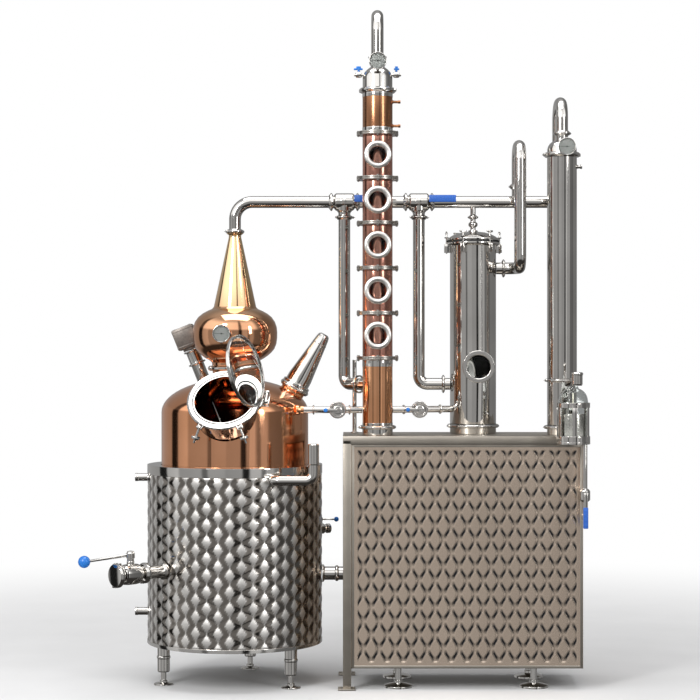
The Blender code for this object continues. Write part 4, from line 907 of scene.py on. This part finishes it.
def make_return_line(number, start, end, along):
    reach = end - start
    way = reach.normalized()
    centre = start + reach * along
    pipe = Shape().at(start, reach).rod(0.0131, 0.0003, reach.length - 0.0003, 32)
    for side, spot in ((1, start), (-1, end)):
        pipe.at(spot, way * side).lathe([(0, 0.0004), (0.0134, 0.0004), (0.0134, 0.048), (0.0178, 0.0485),
            (0.0195, 0.0515), (0.0178, 0.0545), (0.0131, 0.055), (0, 0.055)], 32)
    pipe.at(centre, way).lathe([(0, 0.0238), (0.019, 0.0225), (0.0208, 0.018), (0.0175, 0.01),
        (0.0175, -0.01), (0.0208, -0.018), (0.019, -0.0225), (0, -0.0238)], 36)
    cap = [(0, 0.03), (0.014, 0.0302), (0.0165, 0.029), (0.0225, 0.029), (0.025, 0.032), (0.0315, 0.0325),
        (0.0338, 0.0295), (0.0338, 0.0195), (0.028, 0.0165), (0.0165, 0.012), (0.0158, 0), (0, 0)]
    pipe.at(centre, -Y).lathe(cap, 48).rod(0.007, 0.03, 0.0368, 24)
    pipe.piece(f"return_line_{number}_steel", STEEL, f"return_line_{number}")
    body = f"return_lever_{number}"
    hub = centre + Vector((0, -0.037 - GAP, 0))
    lever = Shape().within(shift(hub)).box((-0.0575, -0.0046, -0.0058), (0.0095, -0.0006, 0.0058), 0.0016)
    lever.at(hub, -Y).rod(0.0062, 0.0034, 0.0078, 6, 0.0006)
    lever.piece(f"{body}_steel", STEEL, body, body)
    knob = Shape().at(hub + X * -0.048,
        -Y).lathe([(0, 0.0178), (0.0062, 0.0165), (0.0086, 0.012), (0.0086, 0.0085), (0.006, 0.004),
            (0, 0.004)], 28)
    knob.piece(f"{body}_knob", BALL, body=body)


def make_return_lines():
    height = 1.104
    side = sqrt((POT_R + 0.001) ** 2 - (LINE_Y - FRONT_Y) ** 2)
    start = Vector((POT_X + side + 0.0095, FRONT_Y, height))
    make_return_line(1, start, Vector((COLUMN_X - COLUMN_R - 0.0006, FRONT_Y, height)), 0.6)
    boss = Shape().at(start + X * 0.012,
        -X).lathe([(0, 0), (0.016, 0), (0.016, 0.012), (0.02, 0.02), (0.02, 0.03), (0, 0.03)], 32)
    boss.piece("pot_boss", ORANGE)
    column, basket = Vector((COLUMN_X, FRONT_Y, height)), Vector((BASKET_X, LINE_Y, height))
    out = (basket - column).normalized()
    make_return_line(2, column + out * (COLUMN_R + 0.0012), basket - out * (BASKET_R + 0.0006), 0.46)


# ---- basket, condenser, parrot ------------------------------------------------------------
BASKET_AT = Vector((BASKET_X, LINE_Y, 0))
CONDENSER_AT = Vector((CONDENSER_X, FRONT_Y, 0))


def make_basket():
    outer = [(0.1055, BASKET_TOP), (0.1055, BASKET_TOP - 0.007), (0.097, BASKET_TOP - 0.01),
        (BASKET_R, BASKET_TOP - 0.014)]
    outer += [(BASKET_R, TABLE_TOP + 0.006), (0.0915, TABLE_TOP + GAP), (0, TABLE_TOP + GAP)]
    inner = [(0, TABLE_TOP + 0.004), (BASKET_R - 0.003, TABLE_TOP + 0.004), (BASKET_R - 0.003, BASKET_TOP)]
    body = Shape().at(BASKET_AT).lathe(inner + outer, 96)
    body = body.piece("basket_vessel_steel", STEEL, "basket_vessel")
    eye = Vector((BASKET_X + 0.017, LINE_Y, 1.276))
    carve(body, Shape().at(eye, -Y).rod(0.056, 0.03, 0.14, 56, 0))
    rim = Shape()
    profile = [(0.0475, 0.06), (0.0475, 0.1015), (0.05, 0.1035), (0.064, 0.1035), (0.0655, 0.101),
        (0.0655, 0.09), (0.06, 0.087), (0.06, 0.062)]
    rim.at(eye, -Y).lathe(profile, 64, True, 0.001)
    bolt_ring(rim, eye, 0.0575, 6, 0.095, 0.102, -Y, 0.2, 0.0036)
    rim.piece("basket_port_ring", STEEL)
    Shape().at(eye, -Y).lathe([(0, 0.095), (0.0473, 0.095), (0.0473, 0.087), (0, 0.087)],
        56).piece("basket_port_pane", GLASS)
    foot = BASKET_TOP + GAP
    lid = [(0, 1.8818), (0.0178, 1.8818), (0.0178, 1.8785), (0.0108, 1.875), (0.0108, 1.864),
        (0.015, 1.862), (0.0188, 1.857), (0.0188, 1.849), (0.015, 1.844), (0.0108, 1.842)]
    lid += [(0.0108, 1.831), (0.019, 1.829), (0.019, 1.825), (0.025, 1.8235), (0.05, 1.8205),
        (0.075, 1.813), (0.092, 1.804), (0.1, 1.7975), (0.1085, 1.7965), (0.1095, 1.7945), (0.1095, 1.788)]
    lid += [(0.1045, 1.7865), (0.103, foot), (0, foot)]
    lid = Shape().at(BASKET_AT).lathe(lid, 80)
    lid.piece("basket_lid_steel", STEEL, "basket_lid", sharp=40)
    seal = Shape().at(BASKET_AT + Z * (BASKET_TOP + 0.003)).lathe([(0.1025, 0.003), (0.1052, 0.003),
        (0.1052, -0.003), (0.1025, -0.003)], 80, True, 0.0006)
    seal.piece("basket_gasket", RUBBER)
    bolts = Shape()
    for step in range(6):
        angle = radians(5 + 60 * step)
        spot = BASKET_AT + Vector((0.1085 * cos(angle), 0.1085 * sin(angle), BASKET_TOP))
        bolts.at(spot, Z, angle).rod(0.0032, -0.046, 0.044, 12, 0.0004).rod(0.0085, 0.0165, 0.0215,
            6).rod(0.006, 0.033, 0.0375, 12)
        bolts.box((-0.0022, -0.015, 0.0375), (0.0022, 0.015, 0.045), 0.0012)
        bolts.box((-0.015, -0.0075, -0.042), (0.009, -0.004, -0.006), 0.001).box((-0.015, 0.004, -0.042),
            (0.009, 0.0075, -0.006), 0.001)
    bolts.piece("basket_lid_bolts", STEEL)
    clamp(CLAMPS, BASKET_AT + Z * 1.035, Z, 0.102, 0.0075, radians(-160))
    cup = Shape().at(BASKET_AT)
    cup.lathe([(0, 1.3738), (0.0782, 1.3738), (0.0782, 1.7346), (0.0858, 1.7346), (0.0858, 1.733),
        (0.0798, 1.732), (0.0798, 1.3722), (0, 1.3722)], 48)
    for step in range(24):
        height = 1.385 + 0.014 * step
        cup.lathe([(0.08, height + 0.003), (0.0812, height), (0.08, height - 0.003), (0.079, height)], 48,
            True, 0)
    cup.piece("botanical_cup", STEEL, "botanical_basket")
    crest, front = 2.19 - TUBE_R, LINE_Y - 0.125
    corners = [(BASKET_X + BASKET_R + 0.0006, LINE_Y, 1.675), (OUTLET_X, LINE_Y, 1.675),
        (OUTLET_X, front, 1.675), (OUTLET_X, front, crest), (OUTLET_X, LINE_Y, crest),
        (OUTLET_X, LINE_Y, LINE_Z + 0.064 + GAP)]
    outlet = Shape().sweep(bend(corners, (0.05, 0.05, 0.06, 0.06), 14), TUBE_R, 40)
    end_ferrule(outlet, (OUTLET_X, LINE_Y, LINE_Z + 0.062 + GAP), Z)
    outlet.piece("basket_outlet_steel", STEEL, "basket_outlet", sharp=40)
    joint((corners[0][0] + 0.0295, LINE_Y, 1.675), X, 0.9)


def make_condenser():
    inside = CONDENSER_R - 0.003
    outer = [(0.06, CONDENSER_TOP), (0.0695, CONDENSER_TOP), (0.0695, CONDENSER_TOP - 0.004),
        (0.064, CONDENSER_TOP - 0.009), (CONDENSER_R, CONDENSER_TOP - 0.01)]
    outer += [(CONDENSER_R, TABLE_TOP + 0.006), (0.0575, TABLE_TOP + GAP), (0, TABLE_TOP + GAP)]
    shell = Shape().at(CONDENSER_AT).lathe([(0, TABLE_TOP + 0.004), (inside, TABLE_TOP + 0.004),
        (inside, CONDENSER_TOP)] + outer, 80)
    shell.at(CONDENSER_AT + Z * 2.075,
        X).lathe([(0, 0.0798), (0.0088, 0.0798), (0.0088, 0.0745), (0.007, 0.0725), (0.007, 0.063),
            (0.0088, 0.06), (0, 0.057)], 28)
    spout_end = Vector((PARROT.x + 0.016, PARROT.y, 1.232))
    spout_from = CONDENSER_AT + Z * 1.208
    away = (spout_end.xy - spout_from.xy).normalized().to_3d()
    shell.within(Matrix.Identity(4)).sweep([spout_from + away * 0.058, spout_from + away * 0.075,
        spout_from.lerp(spout_end, 0.5), spout_end], 0.0092, 24)
    shell.at((spout_end.x, spout_end.y, 0)).lathe([(0, 1.2568), (0.02, 1.256), (0.0236, 1.252),
        (0.0236, 1.246), (0.0215, 1.244), (0.0215, 1.21), (0.019, 1.2035), (0, 1.2032)], 36)
    shell.piece("condenser_shell", STEEL, "condenser", sharp=40)
    clamp(CLAMPS, CONDENSER_AT + Z * 1.2215, Z, 0.0655, 0.007, radians(-160))
    clamp(CLAMPS, CONDENSER_AT + Z * 1.035, Z, 0.069, 0.0075, radians(-160))
    clamp(CLAMPS, CONDENSER_AT + Z * (CONDENSER_TOP + 0.0002), Z, 0.0695, 0.009, radians(-170))
    foot = CONDENSER_TOP + GAP
    head = [(0.0328, foot + 0.0848), (0.0328, foot + 0.0812), (0.025, foot + 0.076),
        (0.0245, foot + 0.0585), (0.03, foot + 0.056), (0.04, foot + 0.0515)]
    head += [(0.049, foot + 0.044), (0.0555, foot + 0.034), (0.0587, foot + 0.0215),
        (0.0587, foot + 0.01), (0.064, foot + 0.0088), (0.0695, foot + 0.0045), (0.0695, foot)]
    inner = [(inside, foot), (inside, foot + 0.021), (0.0505, foot + 0.036), (0.039, foot + 0.047),
        (0.0212, foot + 0.0545), (0.0212, foot + 0.0848)]
    Shape().at(CONDENSER_AT).lathe(head + inner, 72, True).piece("condenser_head_steel", STEEL,
        "condenser_head", sharp=40)
    count = 6 * 28
    helix = []
    for step in range(count + 1):
        angle = 2 * pi * step / 28
        helix.append(CONDENSER_AT + Vector((0.04 * cos(angle), 0.04 * sin(angle), 1.1 + 0.95 * step / count)))
    Shape().sweep(helix, 0.0066, 12).piece("condenser_coil_copper", COPPER, "condenser_coil", sharp=60)


def make_parrot():
    x, y, low = PARROT
    holder = Shape().at(PARROT).lathe([(0, 0.0098), (0.0655, 0.0098), (0.0663, 0.0085), (0.0663, 0.0003),
        (0, 0.0003)], 72)
    for level, tall in ((0.143, 0.019), (0.01, 0.022)):
        holder.lathe([(0.0625, level + tall), (0.0663, level + tall), (0.0663, level), (0.0625, level)],
            72, True, 0.0008)
    for step in range(6):
        holder.at(PARROT, Z, radians(30 + 60 * step)).box((0.0618, -0.009, 0.004), (0.0658, 0.009, 0.155),
            0.0008)
    holder.within(Matrix.Identity(4)).box((x - 0.0298, y + 0.05, low + 0.0003),
        (x + 0.0298, TABLE_Y[0] - GAP, low + 0.0097), 0.0012)
    pipe = [(0, 0.299), (0.0098, 0.299), (0.0098, 0.122), (0.015, 0.119), (0.0205, 0.112),
        (0.0208, 0.094), (0.0205, 0.078), (0.015, 0.072), (0.0098, 0.069)]
    pipe += [(0.0098, 0.023), (0.0128, 0.019), (0.0128, 0.0003), (0.009, 0.0003), (0.009, 0.012), (0, 0.012)]
    holder.at((DRAIN_X, y, 0.68)).lathe(pipe, 36)
    holder.at((DRAIN_X, y, 0.775), -Y).rod(0.0078, 0, 0.0258, 24)
    holder.piece("parrot_holder_steel", STEEL, "parrot_holder")
    outer = [(0.0188, 0.2268), (0.0208, 0.222), (0.0215, 0.218), (0.026, 0.216), (0.0345, 0.212),
        (0.042, 0.206), (0.049, 0.198), (0.0545, 0.187), (0.0578, 0.174), (0.0588, 0.16), (0.0588, 0.0106)]
    Shape().at(PARROT).lathe(outer + [(r - 0.003, z) for r, z in reversed(outer)], 64, True,
        0.0004).piece("parrot_glass_dome", GLASS, "parrot_glass", sharp=50)
    cup = [(0.05, 0.118), (0.053, 0.118), (0.053, 0.0125), (0.02, 0.0115), (0.02, 0.0135), (0.05, 0.015)]
    Shape().at(PARROT).lathe(cup, 56, True, 0.0006).piece("parrot_inner_cup", NUTS)
    hub = shift((DRAIN_X, y - 0.026 - GAP, 0.775))
    lever = Shape().within(hub).box((-0.0085, -0.0045, -0.052), (0.0085, -0.0005, 0.0115), 0.0014)
    lever.at((DRAIN_X, y - 0.0264, 0.775), -Y).rod(0.0055, 0.003, 0.0075, 6, 0.0005)
    lever.piece("parrot_lever_steel", STEEL, "parrot_lever", "parrot_lever")
    grip = Shape().within(hub).box((-0.0098, -0.0078, -0.1278), (0.0098, 0.0018, -0.0452), 0.0032)
    for step in range(4):
        grip.box((-0.0068, -0.008, -0.118 + 0.018 * step), (0.0068, 0.0019, -0.11 + 0.018 * step), 0.001)
    grip.piece("parrot_lever_sleeve", BLUE, body="parrot_lever")
    bulb = [(0, 0.1998), (0.0026, 0.199), (0.0026, 0.088), (0.006, 0.076), (0.0098, 0.066),
        (0.0098, 0.028), (0.0075, 0.016), (0, 0.0109)]
    Shape().at(PARROT).lathe(bulb, 32).piece("hydrometer_glass", PAPER, "hydrometer", "hydrometer")


# ---- gauges -------------------------------------------------------------------------------
def make_gauge(name, face, stem):
    face = Vector(face)
    case = [(0.0315, 0.0158), (0.033, 0.0178), (0.035, 0.0172), (0.0353, 0.0155), (0.034, 0.0125),
        (0.0348, 0.01), (0.0348, 0.002), (0.033, 0.0003), (0.0078, 0.0003)]
    shape = Shape().at(face, -Y).lathe([(0, 0.012), (0.0308, 0.012)] + case + [(0.0078, -stem),
        (0, -stem)], 64)
    shape.lathe([(0.008, -0.002), (0.0115, -0.002), (0.0115, -0.01), (0.008, -0.01)], 6, True)
    shape.piece(f"gauge_{name}_case", STEEL, f"gauge_{name}")
    dial = Shape().at(face, -Y).lathe([(0, 0.013), (0.03, 0.013), (0.03, 0.0122), (0, 0.0122)], 64, False, 0)
    dial.piece(f"gauge_{name}_dial", DIAL)
    marks = Shape()
    facing = shift(face) @ Z.rotation_difference(-Y).to_matrix().to_4x4()
    for step in range(25):
        long_ = 0.006 if step % 4 == 0 else 0.0034
        wide = 0.00055 if step % 4 == 0 else 0.0003
        turned = facing @ spin(-60 + 10 * step, "Z")
        marks.within(turned).box((0.0285 - long_, -wide, 0.0128), (0.0285, wide, 0.0132), 0)
    marks.piece(f"gauge_{name}_marks", INK)
    lens = Shape().at(face, -Y).lathe([(0, 0.017), (0.02, 0.0168), (0.031, 0.0164), (0.031, 0.016),
        (0, 0.0163)], 56, False, 0)
    lens.piece(f"gauge_{name}_lens", GLASS)
    hub = face - Y * 0.0139
    needle = Shape().at(hub, -Y).rod(0.003, -0.0001, 0.0018, 20, 0.0003)
    needle.within(shift(hub)).box((-0.0255, -0.0013, -0.0007), (0.011, -0.0006, 0.0007), 0.0002)
    needle.piece(f"needle_{name}_hand", INK, f"needle_{name}", f"needle_{name}")


# ---- table and cabinet --------------------------------------------------------------------
def make_table():
    slab = Shape().box((TABLE_X[0], TABLE_Y[0], TABLE_TOP - TABLE_H), (TABLE_X[1], TABLE_Y[1], TABLE_TOP),
        0.002)
    for near in (TABLE_Y[0], TABLE_Y[1] - POST):
        slab.box((TABLE_X[0], near, 0.006), (TABLE_X[0] + POST, near + POST, TABLE_TOP - TABLE_H / 2), 0.003)
        slab.box((TABLE_X[0] - 0.0198, near - 0.0118, 0.0002),
            (TABLE_X[0] + POST + 0.0168, near + POST + 0.0118, 0.0078), 0.0012)
        for sx in (-0.012, POST + 0.009):
            slab.at((TABLE_X[0] + sx, near + POST / 2, 0.0075)).rod(0.0055, 0, 0.004, 6, 0.0005).at()
    slab.piece("table_slab", SLAB, "table")
    upright = Shape().at((COLUMN_X - 0.0915, LINE_Y + 0.06, 0)).rod(0.0086, TABLE_TOP - 0.002, 1.3028, 24)
    upright.lathe([(0.0086, TABLE_TOP + 0.006), (0.016, TABLE_TOP + 0.004), (0.016, TABLE_TOP + 0.0002),
        (0.0086, TABLE_TOP + 0.0002)], 24, True)
    upright.piece("table_upright", STEEL, slot="satin_steel")
    make_cladding()
    feet = Shape()
    foot = [(0, 0.086), (0.013, 0.086), (0.013, 0.03), (0.017, 0.029), (0.017, 0.018), (0.024, 0.017),
        (0.048, 0.012), (0.0568, 0.008), (0.0575, 0.0003), (0, 0.0003)]
    for x in (0.245, 0.785):
        for y in (CABINET_Y[0] + 0.07, CABINET_Y[1] - 0.07):
            feet.at((x, y, 0)).lathe(foot, 48)
    feet.piece("cabinet_feet", STEEL, slot="satin_steel")


def make_cladding():
    """Embossed sheets on the four sides, with flat margins that fold round the corners."""
    wide, tall, depth, margin = 0.0632, 0.1075, 0.002, 0.024
    low, high = CABINET_Z
    shape = Shape()
    layer = shape.mesh.verts.layers.float.new("crown")
    (left, right), (front, back) = CABINET_X, CABINET_Y
    sides = (
        (Vector((left, front, 0)), X, -Y, right - left),
        (Vector((right, front, 0)), Y, X, back - front),
        (Vector((right, back, 0)), -X, Y, right - left),
        (Vector((left, back, 0)), -Y, -X, back - front),
    )
    for corner, way, out, length in sides:
        step_x, step_z = (0.003, 0.0038) if out.y < -0.5 else (0.0044, 0.0056)
        across, rows = int(length / step_x), int((high - low) / step_z)
        grid = []
        for row in range(rows + 1):
            z = low + (high - low) * row / rows
            line = []
            for column in range(across + 1):
                s = length * column / across
                edge = min(s, length - s, z - low, high - z)
                fade = max(0, min(1, (edge - margin) / 0.004))
                u, v = (s - length / 2) / wide, (z - low - margin) / tall
                crown = abs(sin(pi * (u + v)) * sin(pi * (u - v)))
                groove = fade * max(0, 1 - 2.6 * crown)
                at = corner + way * s - out * (0.0003 + depth * groove) + Z * z
                vert = shape.mesh.verts.new(at)
                # The crown mark is low along the grooves, where the material paints shade. The crossings of
                # the grooves stay as light as the faces.
                cross = min(1, 1.3 * abs(sin(2 * pi * u)) * abs(sin(2 * pi * v)))
                vert[layer] = 1 - min(1, 2.2 * groove) * cross
                line.append(vert)
            grid.append(line)
        shape.weave(grid)
    bmesh.ops.remove_doubles(shape.mesh, verts=shape.mesh.verts, dist=0.0002)
    clad = shape.piece("cabinet_cladding", CLAD, "cabinet", sharp=60)
    thick = clad.modifiers.new("sheet", "SOLIDIFY")
    thick.thickness = 0.0012
    thick.offset = -1
    sheet = Shape().box((left + 0.009, front + 0.009, low + 0.0005),
        (right - 0.009, back - 0.009, low + 0.004), 0.001)
    sheet.piece("cabinet_floor", SLAB)
    trims = Shape()
    inward = {left: 1, right: -1, front: 1, back: -1}
    for x in CABINET_X:
        for y in CABINET_Y:
            trims.box((x, y, low), (x + inward[x] * 0.012, y + inward[y] * 0.012, high), 0.0012)
    for z0, z1 in ((low, low + 0.012), (high - 0.012, high)):
        for y in CABINET_Y:
            trims.box((left + 0.01, y, z0), (right - 0.01, y + inward[y] * 0.01, z1), 0.0012)
        for x in CABINET_X:
            trims.box((x, front + 0.01, z0), (x + inward[x] * 0.01, back - 0.01, z1), 0.0012)
    trims.piece("cabinet_trims", SLAB)


# ---- setting ------------------------------------------------------------------------------
def make_floor():
    """A pale floor that fades to white away from the still."""
    bpy.ops.mesh.primitive_plane_add(size=90, location=(0, 0, 0))
    floor = bpy.context.object
    floor.name = "floor"
    made, tree = paint("pale_floor")
    tree.finish(tree.ramp(tree.noise(3, 4), [(0.3, 0.71), (0.7, 0.75)]), 0.55)
    where = tree.add("TexCoord").outputs["Object"]
    away = tree.add("VectorMath", operation="LENGTH")
    tree.links.new(where, away.inputs[0])
    near, far = 1.4, 5.0
    fade = tree.span(away.outputs["Value"], near, far, interpolation_type="SMOOTHSTEP")
    glow = tree.add("Emission", {"Color": (1, 1, 1, 1)})
    blend = tree.add("MixShader", {"Fac": fade})
    tree.links.new(tree.nodes["Principled BSDF"].outputs["BSDF"], blend.inputs[1])
    tree.links.new(glow.outputs["Emission"], blend.inputs[2])
    tree.fill(tree.nodes["Material Output"], {"Surface": blend.outputs["Shader"]})
    floor.data.materials.append(made)
    floor.visible_glossy = False


# Grey levels round the studio, by degrees from its front: its panels and the gaps between them.
LOW_BAND = (
    (-180, 0.18), (-150, 0.26), (-114, 0.24), (-111, 0.01), (-98, 0.01), (-95, 0.34),
    (-77, 0.42), (-73, 0.25), (-42, 0.27), (-39, 0.1), (-34, 0.1), (-31, 0.28),
    (-11, 0.28), (-8, 0.23), (12, 0.24), (14, 0.012), (21, 0.012), (24, 0.36), (37, 0.38),
    (39, 0.12), (43, 0.12), (45, 0.3), (54, 0.3), (58, 0.12), (88, 0.09), (93, 0.15),
    (150, 0.13), (180, 0.18),
)
HIGH_BAND = (
    (-180, 0.2), (-112, 0.22), (-108, 0.06), (-98, 0.06), (-94, 0.8), (-60, 1.0),
    (-14, 1.0), (12, 0.92), (14, 0.16), (20, 0.16), (23, 0.9), (60, 0.9), (72, 0.2),
    (92, 0.1), (150, 0.12), (180, 0.2),
)
OVERHEAD = (0.34, 0.34, 0.35, 1)
UNDERFOOT = (0.028, 0.026, 0.024, 1)


def make_studio():
    """White behind the still, and soft panels round it for the metals to reflect."""
    world = bpy.context.scene.world or bpy.data.worlds.new("studio")
    bpy.context.scene.world = world
    tree = Tree(world)
    tree.nodes.clear()
    way = tree.add("TexCoord").outputs["Generated"]
    split = tree.add("SeparateXYZ", {"Vector": way}).outputs
    front, angle = tree.add("Math", operation="MULTIPLY"), tree.add("Math", operation="ARCTAN2")
    front.inputs[1].default_value = -1
    tree.links.new(split["Y"], front.inputs[0])
    tree.links.new(split["X"], angle.inputs[0])
    tree.links.new(front.outputs["Value"], angle.inputs[1])
    turn = tree.span(angle.outputs["Value"], -pi, pi)
    low, high = (
        tree.ramp(turn, [((degrees + 180) / 360, level) for degrees, level in band])
        for band in (LOW_BAND, HIGH_BAND)
    )

    def rise(start, end, below, above):
        part = tree.span(split["Z"], start, end, interpolation_type="SMOOTHSTEP")
        return tree.mix(part, below, above)

    sky = rise(0.62, 0.92, rise(0.17, 0.3, low, high), OVERHEAD)
    sky = rise(-0.56, -0.36, UNDERFOOT, sky)
    studio = tree.add("Background", {"Strength": 1.6, "Color": sky})
    white = tree.add("Background", {"Color": (1, 1, 1, 1)})
    seen = tree.add("LightPath").outputs["Is Camera Ray"]
    choose = tree.add("MixShader", {"Fac": seen})
    tree.links.new(studio.outputs["Background"], choose.inputs[1])
    tree.links.new(white.outputs["Background"], choose.inputs[2])
    tree.add("OutputWorld", {"Surface": choose.outputs["Shader"]})


def light(name, at, aim, size, power):
    lamp = bpy.data.lights.new(name, "AREA")
    lamp.shape = "RECTANGLE"
    lamp.size, lamp.size_y = size
    lamp.energy = power
    obj = bpy.data.objects.new(name, lamp)
    bpy.context.scene.collection.objects.link(obj)
    obj.location = at
    obj.rotation_euler = (Vector(aim) - Vector(at)).to_track_quat("-Z", "Y").to_euler()


def make_camera():
    camera = bpy.data.cameras.new("camera")
    camera.sensor_width = 36
    camera.lens = 101.1
    obj = bpy.data.objects.new("camera", camera)
    bpy.context.scene.collection.objects.link(obj)
    obj.location = (0.053, LINE_Y - 8.0, 1.343)
    obj.rotation_euler = (pi / 2, 0, 0)
    bpy.context.scene.camera = obj
    bpy.context.scene.view_settings.view_transform = "Standard"


make_pot()
make_jacket()
make_manway()
make_helmet()
make_agitator()
make_vent()
make_drain()
make_line()
make_drops()
make_column()
make_return_lines()
make_basket()
make_condenser()
make_parrot()
make_gauge("helmet", (POT_X - 0.042, LINE_Y - 0.167 - 0.03, 1.408), 0.0265)
make_gauge("column", (COLUMN_X, FRONT_Y - 0.055, 2.489), 0.029)
make_gauge("condenser", (CONDENSER_X + 0.01, FRONT_Y - 0.08, CONDENSER_TOP + 0.025), 0.02)
make_table()
CLAMPS.piece("pipe_clamps", STEEL)
make_floor()
make_studio()
light("key", (-3.2, -5.0, 4.2), (0, 0, 1.2), (1.2, 3.0), 190)
light("fill", (4.2, -4.5, 3.0), (0, 0, 1.2), (0.8, 3.0), 60)
light("top", (0, -0.5, 5.5), (0, 0, 0), (4, 3), 150)
make_camera()
